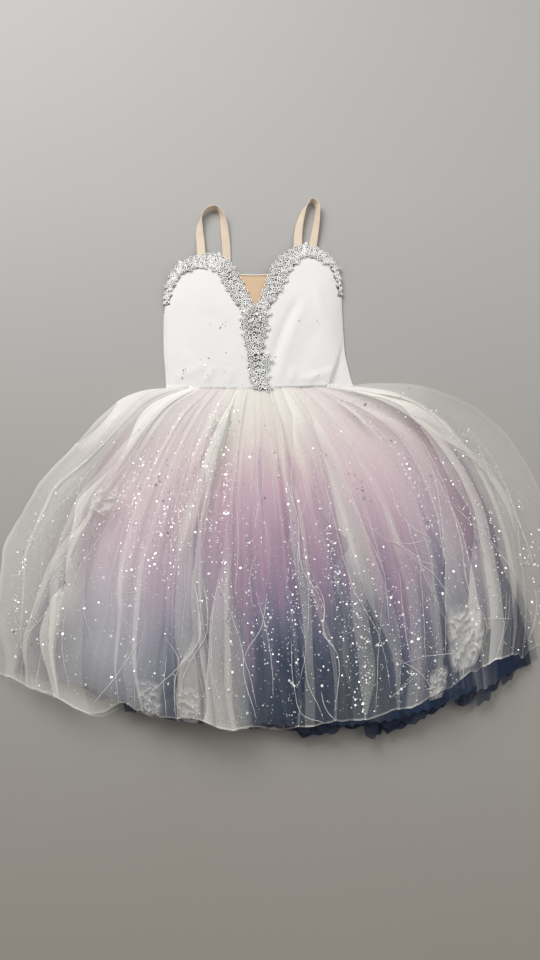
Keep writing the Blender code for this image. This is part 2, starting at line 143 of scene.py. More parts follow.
@dataclass(frozen=True)
class BodiceForm:
    """The shape on which the bodice, its insert, its lace and its straps are built."""

    waist_left: tuple[float, float] = (-0.157, 0.078)
    waist_right: tuple[float, float] = (0.110, 0.081)
    waist_dip: float = 0.004
    cloth: float = 0.0012
    side_rounding: float = 7.0
    side_seam: float = 0.0021
    creases: tuple[Crease, ...] = (
        Crease((0.030, 0.213), (-0.008, 0.100), 0.004, 0.0075, -0.0030),
        Crease((0.040, 0.205), (0.004, 0.096), 0.003, 0.0080, 0.0016),
        Crease((0.066, 0.180), (0.030, 0.100), 0.004, 0.0110, -0.0012),
        Crease((0.036, 0.090), (0.080, 0.104), 0.004, 0.0060, 0.0016),
        Crease((-0.148, 0.094), (-0.100, 0.112), 0.004, 0.0070, 0.0014),
        Crease((-0.140, 0.200), (-0.122, 0.128), 0.006, 0.0100, -0.0016),
        Crease((-0.100, 0.196), (-0.070, 0.130), -0.008, 0.0120, -0.0012),
        Crease((0.060, 0.240), (0.084, 0.165), 0.005, 0.0080, 0.0014),
        Crease((-0.100, 0.086), (-0.090, 0.108), 0.001, 0.0045, 0.0016),
        Crease((-0.066, 0.084), (-0.068, 0.104), 0.001, 0.0045, 0.0014),
        Crease((0.020, 0.084), (0.024, 0.104), 0.001, 0.0045, 0.0016),
        Crease((0.048, 0.084), (0.056, 0.098), 0.001, 0.0040, 0.0014),
    )
    side_panel: tuple[tuple[float, float], ...] = (
        (0.0700, 0.0745), (0.0796, 0.0760), (0.1018, 0.0828), (0.1211, 0.0892), (0.1454, 0.0948),
        (0.1700, 0.0990), (0.2100, 0.1050))  # y and x of the front's edge over the right side panel

    def __post_init__(self) -> None:
        """Fits the outlines through their tables."""
        height = (0.070, 0.105, 0.140, 0.205, 0.260, 0.325)
        fits = {
            "panel_edge": SmoothCurve(*zip(*self.side_panel)),
            "seam_left": SmoothCurve(height, (-0.1565, -0.1600, -0.1640, -0.1665, -0.1665, -0.1665)),
            "seam_right": SmoothCurve(height, (0.1110, 0.1035, 0.0985, 0.0975, 0.0985, 0.0985)),
            "puff": SmoothCurve(height, (0.0110, 0.0135, 0.0150, 0.0160, 0.0140, 0.0095)),
            "left_cup": self._cup((
                (0.00, -0.166, 0.203), (0.07, -0.164, 0.239), (0.15, -0.155, 0.269), (0.27, -0.136, 0.288),
                (0.42, -0.112, 0.298), (0.56, -0.091, 0.299), (0.68, -0.071, 0.287), (0.79, -0.058, 0.263),
                (0.90, -0.044, 0.232), (1.00, -0.030, 0.202))),
            "right_cup": self._cup((
                (0.00, 0.098, 0.214), (0.05, 0.098, 0.250), (0.11, 0.093, 0.279), (0.20, 0.083, 0.296),
                (0.32, 0.062, 0.310), (0.45, 0.041, 0.315), (0.59, 0.018, 0.300), (0.73, 0.000, 0.275),
                (0.85, -0.010, 0.250), (1.00, -0.030, 0.202))),
        }
        for name, fit in fits.items():
            object.__setattr__(self, name, fit)

    @staticmethod
    def _cup(rows: Iterable[tuple[float, float, float]]) -> tuple[SmoothCurve, SmoothCurve]:
        """The two curves of a cup's edge, from rows of share, x and y."""
        share, x, y = zip(*rows)
        return SmoothCurve(share, x, rounded=True), SmoothCurve(share, y, rounded=True)

    def cup_point(self, side: Side, share: float) -> Vector:
        """A point of a cup's edge, from the underarm (0) to the bottom of the V (1)."""
        edge = self.left_cup if side is Side.LEFT else self.right_cup
        return Vector((edge[0](share), edge[1](share)))

    def across_at(self, x: float, y: float) -> float:
        """Where x lies between the side seams at y, from -1 to 1."""
        left, right = self.seam_left(y), self.seam_right(y)
        return (2 * x - left - right) / (right - left)

    def plain_height(self, x: float, y: float) -> float:
        """Height of the front's middle surface, as in its solid."""
        rounding = max(0.0, 1 - abs(self.across_at(x, y)) ** self.side_rounding)
        return self.side_seam + (self.puff(y) - self.side_seam) * rounding

    def height(self, x: float, y: float) -> float:
        """Height of the front with its creases."""
        rise = sum(crease.rise(x, y) for crease in self.creases)
        rise += 0.0007 * noise.noise(Vector((x * 22, y * 16, 0.3)))
        edge = max(1 - abs(self.across_at(x, y)) ** 8, 0.0)
        past = smooth_step(-0.0026, 0.0012, x - self.panel_edge(y))
        plain = self.plain_height(x, y)
        drop = (plain - self.side_seam) * 0.62 * past * (1 - smooth_step(0.130, 0.178, y))
        return plain + rise * edge - drop

    def off(self, x: float, y: float, out: float, creased: bool = True) -> Vector:
        """The point that stands out from the front at (x, y), square to it.

        Args:
            x: Place to the right.
            y: Place towards the straps.
            out: Distance from the middle of the cloth.
            creased: Whether the cloth has its creases there.

        Returns:
            The point.
        """
        height = self.height if creased else self.plain_height
        step = 0.0006
        slope_x = (height(x + step, y) - height(x - step, y)) / (2 * step)
        slope_y = (height(x, y + step) - height(x, y - step)) / (2 * step)
        normal = Vector((-slope_x, -slope_y, 1.0)).normalized()
        return Vector((x, y, height(x, y))) + normal * out

    def panel_point(self, across: float, up: float, top: Vector) -> Vector:
        """A point of a bodice panel, with up 0 at the waist seam and 1 at its top edge."""
        bottom = Vector(self.waist_left).lerp(Vector(self.waist_right), (across + 1) / 2)
        bottom.y -= self.waist_dip * (1 - across * across)
        y = bottom.y + (top.y - bottom.y) * up
        there = self.across_at(bottom.x, bottom.y) * (1 - up) + self.across_at(top.x, top.y) * up
        left, right = self.seam_left(y), self.seam_right(y)
        return Vector(((left + right) / 2 + there * (right - left) / 2, y))


class Layer(Enum):
    """The three kinds of tulle, outermost first, with the height of each one's flat back."""

    OVERLAY = 0.0005
    DYED = 0.0018
    UNDER = 0.0031


class SkirtForm:
    """The fan in which every skirt layer lies: across from -1 to 1, and down from waist (0) to hem (1)."""

    length = 0.462
    fold = {Layer.OVERLAY: 0.0080, Layer.DYED: 0.0054, Layer.UNDER: 0.0028}

    def __init__(self) -> None:
        """Fits the fan's outline, heights and hems through their tables."""
        down = (0.00, 0.05, 0.12, 0.30, 0.50, 0.70, 0.85, 1.00)
        self.left = self._line(down, (
            (-0.153, 0.0770), (-0.181, 0.0735), (-0.217, 0.0580), (-0.275, -0.0100), (-0.327, -0.0800),
            (-0.358, -0.1600), (-0.3605, -0.2370), (-0.347, -0.3250)))
        self.middle = self._line(down, (
            (-0.022, 0.0725), (-0.021, 0.0480), (-0.019, 0.0150), (-0.016, -0.0680), (-0.010, -0.1620),
            (-0.003, -0.2560), (0.001, -0.3250), (0.004, -0.3890)))
        self.right = self._line(down, (
            (0.106, 0.0800), (0.136, 0.0840), (0.178, 0.0830), (0.263, 0.0550), (0.333, -0.0220),
            (0.359, -0.1180), (0.360, -0.2020), (0.343, -0.2970)))
        rows = (0.00, 0.06, 0.15, 0.30, 0.50, 0.70, 0.85, 1.00)
        self.crest = {
            Layer.OVERLAY: SmoothCurve(rows, (.0122, .0205, .0330, .0465, .0525, .0510, .0460, .0390)),
            Layer.DYED: SmoothCurve(rows, (.0107, .0160, .0238, .0332, .0382, .0362, .0322, .0270)),
            Layer.UNDER: SmoothCurve(rows, (.0092, .0126, .0174, .0236, .0276, .0256, .0226, .0182)),
        }
        self.pleat = {
            Layer.OVERLAY: SmoothCurve(rows, (0, .0011, .0034, .0050, .0058, .0060, .0055, .0046)),
            Layer.DYED: SmoothCurve(rows, (0, .0008, .0022, .0034, .0040, .0040, .0036, .0032)),
            Layer.UNDER: SmoothCurve(rows, (0, .0005, .0014, .0022, .0026, .0026, .0024, .0022)),
        }
        reach = (0.00, 0.05, 0.12, 0.30, 0.50, 0.70, 0.85, 1.00)
        self.reach = {
            Layer.OVERLAY: SmoothCurve(reach, (1.0,) * 8),
            Layer.DYED: SmoothCurve(reach, (0.962, 0.925, 0.882, 0.860, 0.840, 0.840, 0.885, 0.955)),
            Layer.UNDER: SmoothCurve(reach, (0.930, 0.885, 0.848, 0.840, 0.818, 0.818, 0.862, 0.930)),
        }
        self.dye = SmoothCurve(  # how much sooner the dye turns to blue, at places across
            (-1.0, -0.8, -0.5, -0.36, -0.2, -0.02, 0.12, 0.22, 0.36, 0.5, 0.62, 0.8, 1.0),
            (0.0, -0.03, -0.04, 0.04, -0.01, -0.035, 0.045, 0.07, 0.02, -0.02, -0.07, -0.03, 0.0))
        self.hem = {
            Layer.OVERLAY: SmoothCurve(
                (-1.0, -0.83, -0.65, -0.52, -0.31, 0.14, 0.32, 0.57, 0.69, 0.82, 1.0),
                (0.0, 0.002, 0.009, -0.010, -0.004, 0.002, 0.0, -0.003, -0.022, -0.014, -0.010)),
            Layer.DYED: SmoothCurve(
                (-1.0, -0.7, -0.45, 0.0, 0.4, 0.75, 1.0),
                (-0.010, -0.022, -0.006, -0.008, 0.006, 0.002, -0.004)),
            Layer.UNDER: SmoothCurve(
                (-1.0, -0.62, -0.48, -0.2, 0.1, 0.3, 0.42, 0.55, 0.7, 1.0),
                (-0.012, -0.014, -0.006, -0.003, 0.010, 0.010, 0.019, 0.015, 0.010, 0.008)),
        }

    @staticmethod
    def _line(down: Sequence[float], points: Sequence[tuple[float, float]]) -> tuple[SmoothCurve, SmoothCurve]:
        """The two curves of a line down the skirt."""
        x, y = zip(*points)
        return SmoothCurve(down, x), SmoothCurve(down, y)

    def plan(self, across: float, down: float) -> Vector:
        """The plan of a point of the fan."""
        held = min(max(down, 0.0), 1.0)
        left, mid, right = (Vector((s[0](held), s[1](held))) for s in (self.left, self.middle, self.right))
        point = mid + (right - left) * (across / 2) + ((left + right) / 2 - mid) * across**2
        if down > 1.0:
            point += (point - self.plan(across, 0.97)) * ((down - 1.0) / 0.03)
        elif down < 0.0:
            point.y -= down * self.length  # the heading, sewn to the bodice
        return point

    def half_width(self, down: float) -> float:
        """Half the width of the fan, in metres."""
        held = min(max(down, 0.0), 1.0)
        return (self.right[0](held) - self.left[0](held)) / 2

    def rounding(self, across: float) -> float:
        """How a layer falls from its crest (1) towards its folded sides (0)."""
        return max(0.0, 1 - across**4) ** 0.75

    def front_height(self, layer: Layer, across: float, down: float) -> float:
        """Height of a layer's front, between its pleats."""
        crest = self.crest[layer](min(down, 1.0))
        low = layer.value + self.fold[layer]
        return low + (crest - low) * self.rounding(across)


BODICE = BodiceForm()
SKIRT = SkirtForm()


# Making meshes


def sheet_mesh(name: str, place: Place, columns: int, rows: int) -> bmesh.types.BMesh:
    """A grid of cloth whose vertices are moved to their places.

    Args:
        name: Unused in the mesh, kept for the log.
        place: Gives the point for u and v from 0 to 1.
        columns: Faces along u.
        rows: Faces along v.

    Returns:
        The mesh, with u and v kept in its vertex layers "u" and "v".
    """
    bm = bmesh.new()
    bmesh.ops.create_grid(bm, x_segments=columns, y_segments=rows, size=0.5)
    u_layer = bm.verts.layers.float.new("u")
    v_layer = bm.verts.layers.float.new("v")
    for vertex in bm.verts:
        u, v = vertex.co.x + 0.5, vertex.co.y + 0.5
        vertex[u_layer], vertex[v_layer] = u, v
        vertex.co = place(u, v)
    log.debug("%s: %d vertices", name, len(bm.verts))
    return bm


def make_object(name: str, bm: bmesh.types.BMesh, material: bpy.types.Material) -> bpy.types.Object:
    """An object from a finished mesh, shaded smooth and dressed.

    Args:
        name: The piece's name.
        bm: Its mesh, which is freed.
        material: Its finish.

    Returns:
        The object, linked to the scene.
    """
    mesh = bpy.data.meshes.new(name)
    bm.to_mesh(mesh)
    bm.free()
    mesh.shade_smooth()
    mesh.materials.append(material)
    obj = bpy.data.objects.new(name, mesh)
    bpy.context.scene.collection.objects.link(obj)
    return obj


def thicken(obj: bpy.types.Object, wall: float) -> None:
    """Gives a sheet of cloth its thickness, half to each side."""
    solidify = obj.modifiers.new("cloth", "SOLIDIFY")
    solidify.thickness = wall
    solidify.offset = 0.0


def cords_mesh(name: str, paths: Iterable[Sequence[Vector]], radius: float, closed: bool,
               material: bpy.types.Material, sides: int = 1) -> bpy.types.Object:
    """Round cords along paths, as one mesh.

    Args:
        name: The piece's name.
        paths: The points of each cord.
        radius: Of the cord.
        closed: Whether each cord is a ring.
        material: Its finish.
        sides: Blender's bevel resolution, 1 for six sides.

    Returns:
        The object, linked to the scene.
    """
    curve = bpy.data.curves.new(name, "CURVE")
    curve.dimensions = "3D"
    curve.bevel_depth = radius
    curve.bevel_resolution = sides
    curve.use_fill_caps = not closed
    for path in paths:
        spline = curve.splines.new("POLY")
        spline.points.add(len(path) - 1)
        for point, co in zip(spline.points, path):
            point.co = (*co, 1.0)
        spline.use_cyclic_u = closed
    holder = bpy.data.objects.new(name + "_path", curve)
    bpy.context.scene.collection.objects.link(holder)
    depsgraph = bpy.context.evaluated_depsgraph_get()
    mesh = bpy.data.meshes.new_from_object(holder.evaluated_get(depsgraph))
    bpy.data.objects.remove(holder, do_unlink=True)
    mesh.name = name
    mesh.shade_smooth()
    mesh.materials.clear()
    mesh.materials.append(material)
    obj = bpy.data.objects.new(name, mesh)
    bpy.context.scene.collection.objects.link(obj)
    return obj


def attach(obj: bpy.types.Object, slot: str, *nodes: str) -> bpy.types.Object:
    """Rides a piece on the dress, hides the solids that it stands for, and logs it.

    Args:
        obj: The piece.
        slot: Not used.
        nodes: The CAD nodes that it replaces.

    Returns:
        The same piece.
    """
    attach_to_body(obj, "root")
    if nodes:
        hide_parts(*nodes)
    log.info("%s: %d faces", obj.name, len(obj.data.polygons))
    return obj


# Finishes


class Shader:
    """A material under construction."""

    def __init__(self, name: str, colour: Colour, roughness: float) -> None:
        """Starts a material with one colour and roughness."""
        self.material = bpy.data.materials.new(name)
        self.material.use_nodes = True
        self.nodes = self.material.node_tree.nodes
        self.links = self.material.node_tree.links
        self.surface = self.nodes["Principled BSDF"]
        self.surface.inputs["Base Color"].default_value = (*colour, 1.0)
        self.surface.inputs["Roughness"].default_value = roughness

    def set(self, socket: str, value: float | tuple[float, ...]) -> None:
        """Sets one of the surface's own sockets."""
        self.surface.inputs[socket].default_value = value

    def node(self, kind: str, **settings: object) -> bpy.types.Node:
        """A new node with some of its settings."""
        made = self.nodes.new(kind)
        for name, value in settings.items():
            setattr(made, name, value)
        return made

    def attribute(self, name: str) -> bpy.types.NodeSocket:
        """The value of one of the piece's own attributes."""
        return self.node("ShaderNodeAttribute", attribute_name=name).outputs["Fac"]

    def object_place(self) -> bpy.types.NodeSocket:
        """The place on the piece, in metres."""
        return self.node("ShaderNodeTexCoord").outputs["Object"]

    def math(self, operation: str, first: object, second: object = 0.0,
             third: object = 0.0) -> bpy.types.NodeSocket:
        """The result of a sum of sockets or numbers.

        Args:
            operation: Blender's name for it.
            first: A socket or a number.
            second: A socket or a number.
            third: A socket or a number.

        Returns:
            The result's socket.
        """
        made = self.node("ShaderNodeMath", operation=operation)
        for i, value in enumerate((first, second, third)):
            if isinstance(value, bpy.types.NodeSocket):
                self.links.new(value, made.inputs[i])
            else:
                made.inputs[i].default_value = value
        return made.outputs[0]

    def noise(self, scale: float, vector: bpy.types.NodeSocket | None = None, detail: float = 2.0,
              stretch: Vector | None = None) -> bpy.types.NodeSocket:
        """Noise over the piece.

        Args:
            scale: How many blots a metre holds.
            vector: What the noise is read at; the place on the piece if none is given.
            detail: Its finer steps.
            stretch: How much each axis is squeezed.

        Returns:
            The noise, from 0 to 1.
        """
        made = self.node("ShaderNodeTexNoise")
        made.inputs["Scale"].default_value = scale
        made.inputs["Detail"].default_value = detail
        source = vector or self.object_place()
        if stretch is not None:
            mapping = self.node("ShaderNodeMapping")
            mapping.inputs["Scale"].default_value = stretch
            self.links.new(source, mapping.inputs["Vector"])
            source = mapping.outputs["Vector"]
        self.links.new(source, made.inputs["Vector"])
        return made.outputs["Fac"]

    def ramp(self, value: bpy.types.NodeSocket,
             stops: Sequence[tuple[float, Colour]]) -> bpy.types.NodeSocket:
        """Colours laid along a value."""
        made = self.node("ShaderNodeValToRGB")
        elements = made.color_ramp.elements
        elements[0].position, elements[0].color = stops[0][0], (*stops[0][1], 1.0)
        elements[1].position, elements[1].color = stops[-1][0], (*stops[-1][1], 1.0)
        for position, colour in stops[1:-1]:
            elements.new(position).color = (*colour, 1.0)
        self.links.new(value, made.inputs["Fac"])
        return made.outputs["Color"]

    def blend(self, amount: object, first: object, second: object) -> bpy.types.NodeSocket:
        """A mix of two colours."""
        made = self.node("ShaderNodeMix", data_type="RGBA")
        for i, value in ((0, amount), (6, first), (7, second)):
            if isinstance(value, bpy.types.NodeSocket):
                self.links.new(value, made.inputs[i])
            elif i:
                made.inputs[i].default_value = (*value, 1.0)
            else:
                made.inputs[i].default_value = value
        return made.outputs[2]

    def bump(self, height: bpy.types.NodeSocket, distance: float, strength: float = 1.0) -> None:
        """Raises the surface by a height, in metres at its highest."""
        made = self.node("ShaderNodeBump")
        made.inputs["Strength"].default_value = strength
        made.inputs["Distance"].default_value = distance
        self.links.new(height, made.inputs["Height"])
        self.links.new(made.outputs["Normal"], self.surface.inputs["Normal"])

    def strips(self, across: bpy.types.NodeSocket, down: bpy.types.NodeSocket, count: float,
               seed: float) -> bpy.types.NodeSocket:
        """Gathered strips that run down the cloth, crisp at one edge and soft at the other.

        Args:
            across: The place across the cloth, from -1 to 1.
            down: The place down it, from 0 to 1.
            count: How many strips lie in half of its width.
            seed: Sets which of them are light.

        Returns:
            How light each strip is, from 0 to 1.
        """
        spot = self.node("ShaderNodeCombineXYZ")
        self.links.new(self.math("MULTIPLY", across, 4.0), spot.inputs[0])
        self.links.new(self.math("MULTIPLY_ADD", down, 2.6, seed), spot.inputs[1])
        place = self.math("MULTIPLY_ADD", across, count, seed + 50.0)
        place = self.math("MULTIPLY_ADD", self.noise(1.0, spot.outputs[0], detail=1.0), 2.4, place)
        chance = self.node("ShaderNodeTexWhiteNoise", noise_dimensions="1D")
        self.links.new(self.math("FLOOR", place), chance.inputs["W"])
        fade = self.math("MULTIPLY_ADD", self.math("FRACT", place), -0.55, 1.0)
        return self.math("MULTIPLY", chance.outputs["Value"], fade)

    def weave(self, threads: float, unevenness: float) -> tuple[bpy.types.NodeSocket, bpy.types.NodeSocket]:
        """The shared weave on this piece: its height and its shade.

        Args:
            threads: How many threads a metre holds each way.
            unevenness: How much the threads wander.

        Returns:
            The height and the shade, from 0 to 1.
        """
        made = self.node("ShaderNodeGroup")
        made.node_tree = weave_group()
        made.inputs["Threads"].default_value = threads
        made.inputs["Unevenness"].default_value = unevenness
        self.links.new(self.object_place(), made.inputs["Place"])
        return made.outputs["Height"], made.outputs["Shade"]

    def feed(self, output: bpy.types.NodeSocket, socket: str) -> None:
        """Joins a varying value to one of the surface's sockets."""
        self.links.new(output, self.surface.inputs[socket])


def weave_group() -> bpy.types.NodeTree:
    """The node group of crossed threads, built once: from a place it gives their height and their shade."""
    name = "Crossed threads"
    if name in bpy.data.node_groups:
        return bpy.data.node_groups[name]
    tree = bpy.data.node_groups.new(name, "ShaderNodeTree")
    sockets = (("Place", "INPUT", "NodeSocketVector"), ("Threads", "INPUT", "NodeSocketFloat"),
               ("Unevenness", "INPUT", "NodeSocketFloat"), ("Height", "OUTPUT", "NodeSocketFloat"),
               ("Shade", "OUTPUT", "NodeSocketFloat"))
    for label, way, kind in sockets:
        tree.interface.new_socket(name=label, in_out=way, socket_type=kind)
    start, end = tree.nodes.new("NodeGroupInput"), tree.nodes.new("NodeGroupOutput")
    heights = []
    for direction in ("X", "Y"):
        wave = tree.nodes.new("ShaderNodeTexWave")
        wave.bands_direction = direction
        wave.inputs["Detail"].default_value = 1.0
        scale = tree.nodes.new("ShaderNodeMath")
        scale.operation = "MULTIPLY"
        scale.inputs[1].default_value = 1 / 3.1416  # Blender's bands repeat every pi / 10 at a scale of 1
        tree.links.new(start.outputs["Threads"], scale.inputs[0])
        tree.links.new(scale.outputs[0], wave.inputs["Scale"])
        tree.links.new(start.outputs["Place"], wave.inputs["Vector"])
        tree.links.new(start.outputs["Unevenness"], wave.inputs["Distortion"])
        heights.append(wave.outputs["Fac"])
    cross = tree.nodes.new("ShaderNodeMath")
    cross.operation = "MAXIMUM"
    tree.links.new(heights[0], cross.inputs[0])
    tree.links.new(heights[1], cross.inputs[1])
    tree.links.new(cross.outputs[0], end.inputs["Height"])
    blots = tree.nodes.new("ShaderNodeTexNoise")
    blots.inputs["Scale"].default_value = 40.0
    blots.inputs["Detail"].default_value = 3.0
    tree.links.new(start.outputs["Place"], blots.inputs["Vector"])
    tree.links.new(blots.outputs["Fac"], end.inputs["Shade"])
    return tree


@dataclass(frozen=True)
class ClothFinish:
    """Opaque cloth with crossed threads: stretch knit, fine mesh or woven elastic."""

    name: str
    colour: Colour
    shade: Colour
    threads: float
    depth: float
    roughness: float = 0.8
    sheen: float = 0.15
    ribs: float = 0.0  # raised ribs across the piece's own width, as on elastic

    def make(self) -> bpy.types.Material:
        """The material."""
        shader = Shader(self.name, self.colour, self.roughness)
        shader.set("Sheen Weight", self.sheen)
        shader.set("Specular IOR Level", 0.25)
        height, shade = shader.weave(self.threads, 0.6)
        shader.feed(shader.blend(shader.math("MULTIPLY", shade, 0.6), self.colour, self.shade), "Base Color")
        if self.ribs:
            rib = shader.math("MULTIPLY", shader.attribute("v"), self.ribs * 2 * math.pi)
            rib = shader.math("MULTIPLY_ADD", shader.math("SINE", rib), 0.5, 0.5)
            height = shader.math("MULTIPLY_ADD", rib, 0.7, height)
        shader.bump(height, self.depth)
        return shader.material


@dataclass(frozen=True)
class ThreadFinish:
    """Silver cord of the lace: pale metallic thread with a twist."""

    name: str
    bright: Colour
    dull: Colour
    metallic: float = 0.35
    roughness: float = 0.36

    def make(self) -> bpy.types.Material:
        """The material."""
        shader = Shader(self.name, self.bright, self.roughness)
        shader.set("Metallic", self.metallic)
        patches = shader.noise(420.0, detail=1.0)
        patches = shader.math("SMOOTH_MIN", shader.math("MULTIPLY", patches, 1.3), 1.0, 0.1)
        shader.feed(shader.blend(patches, self.dull, self.bright), "Base Color")
        shader.bump(shader.noise(2600.0, detail=1.0), 0.0003)
        return shader.material


@dataclass(frozen=True)
class LaceGroundFinish:
    """The ground of the lace: grey net with glinting flat spangles."""

    name: str
    dark: Colour = (0.05, 0.05, 0.047)
    light: Colour = (0.90, 0.90, 0.88)

    def make(self) -> bpy.types.Material:
        """The material."""
        shader = Shader(self.name, self.light, 0.45)
        shader.set("Metallic", 0.3)
        cells = shader.node("ShaderNodeTexVoronoi")
        cells.inputs["Scale"].default_value = 520.0
        shader.links.new(shader.object_place(), cells.inputs["Vector"])
        grain = shader.math("MULTIPLY_ADD", cells.outputs["Distance"], -1.2, 1.05)
        blots = shader.math("MULTIPLY_ADD", shader.noise(210.0, detail=1.0), 3.4, -1.05)
        blots = shader.math("MINIMUM", shader.math("MAXIMUM", blots, 0.0), 1.0)
        tint = shader.math("MULTIPLY", grain, blots)
        shader.feed(shader.blend(tint, self.dark, self.light), "Base Color")
        shader.bump(grain, 0.0004)
        return shader.material


@dataclass(frozen=True)
class SpangleFinish:
    """Sequins and glitter: flat plastic mirrors, each with a painted glint: a light or dark colour for the light or
    shade it mirrors, and a painted glow on the brightest.
    """

    name: str
    # bright and dark are painted reflections: the light and the shade that a sequin mirrors
    bright: Colour = (0.97, 0.97, 0.96)
    dark: Colour = (0.20, 0.21, 0.22)
    metallic: float = 0.55
    roughness: float = 0.22

    def make(self) -> bpy.types.Material:
        """The material."""
        shader = Shader(self.name, self.bright, self.roughness)
        shader.set("Metallic", self.metallic)
        painted_glint = shader.attribute("painted_glint")
        shader.feed(shader.blend(painted_glint, self.dark, self.bright), "Base Color")
        # painted glow: the brightest sequins give off light of their own, a painted glint
        painted_glow = shader.math("MULTIPLY", shader.math("POWER", painted_glint, 3.0), 0.22)
        tint = shader.node("ShaderNodeCombineColor")
        for socket in tint.inputs[:3]:
            shader.links.new(painted_glow, socket)
        shader.feed(tint.outputs[0], "Emission Color")
        shader.set("Emission Strength", 1.0)
        return shader.material


@dataclass(frozen=True)
class SheerTulleFinish:
    """Sheer glitter tulle: a pale net that is denser where it is gathered, with glitter caught in it."""

    name: str
    thin: Colour = (0.97, 0.945, 0.90)
    dense: Colour = (0.97, 0.95, 0.91)
    opacity: float = 0.068
    gathered: float = 0.62
    net: float = 800.0  # meshes in a metre
    specks: float = 260.0  # places for glitter in a metre

    def make(self) -> bpy.types.Material:
        """The material."""
        shader = Shader(self.name, self.thin, 0.55)
        shader.set("Sheen Weight", 0.2)
        shader.set("Specular IOR Level", 0.3)
        gather = shader.attribute("gather")
        split = shader.node("ShaderNodeSeparateXYZ")
        shader.links.new(shader.object_place(), split.inputs[0])
        slants = [shader.math("ABSOLUTE", shader.math("SINE", shader.math("MULTIPLY", shader.math(
            way, split.outputs[0], split.outputs[1]), self.net * math.pi / 1.414))) for way in ("ADD", "SUBTRACT")]
        thread = shader.math("LESS_THAN", shader.math("MINIMUM", *slants), 0.42)
        density = shader.math("MULTIPLY_ADD", gather, self.gathered, self.opacity)
        wisps = shader.noise(9.0, detail=1.0, stretch=Vector((1.0, 0.25, 1.0)))
        density = shader.math("MULTIPLY", density, shader.math("MULTIPLY_ADD", wisps, 0.9, 0.55))
        strip = shader.strips(shader.attribute("across"), shader.attribute("down"), 8.0, 5.0)
        density = shader.math("MULTIPLY", density, shader.math("MULTIPLY_ADD", strip, 2.0, 0.42))
        alpha = shader.math("MULTIPLY", density, shader.math("MULTIPLY_ADD", thread, 0.7, 0.65))
        cells = shader.node("ShaderNodeTexVoronoi")
        cells.inputs["Scale"].default_value = self.specks
        shader.links.new(shader.object_place(), cells.inputs["Vector"])
        near = shader.math("LESS_THAN", cells.outputs["Distance"], 0.085)
        chance = shader.node("ShaderNodeSeparateColor")
        shader.links.new(cells.outputs["Color"], chance.inputs[0])
        few = shader.math("GREATER_THAN", chance.outputs[0], 0.62)
        speck = shader.math("MULTIPLY", near, few)
        shader.feed(shader.math("MAXIMUM", shader.math("MINIMUM", alpha, 0.96), speck), "Alpha")
        cloth = shader.blend(gather, self.thin, self.dense)
        shader.feed(shader.blend(speck, cloth, (1.0, 1.0, 0.98)), "Base Color")
        shader.feed(shader.math("MULTIPLY_ADD", speck, -0.30, 0.55), "Roughness")
        return shader.material


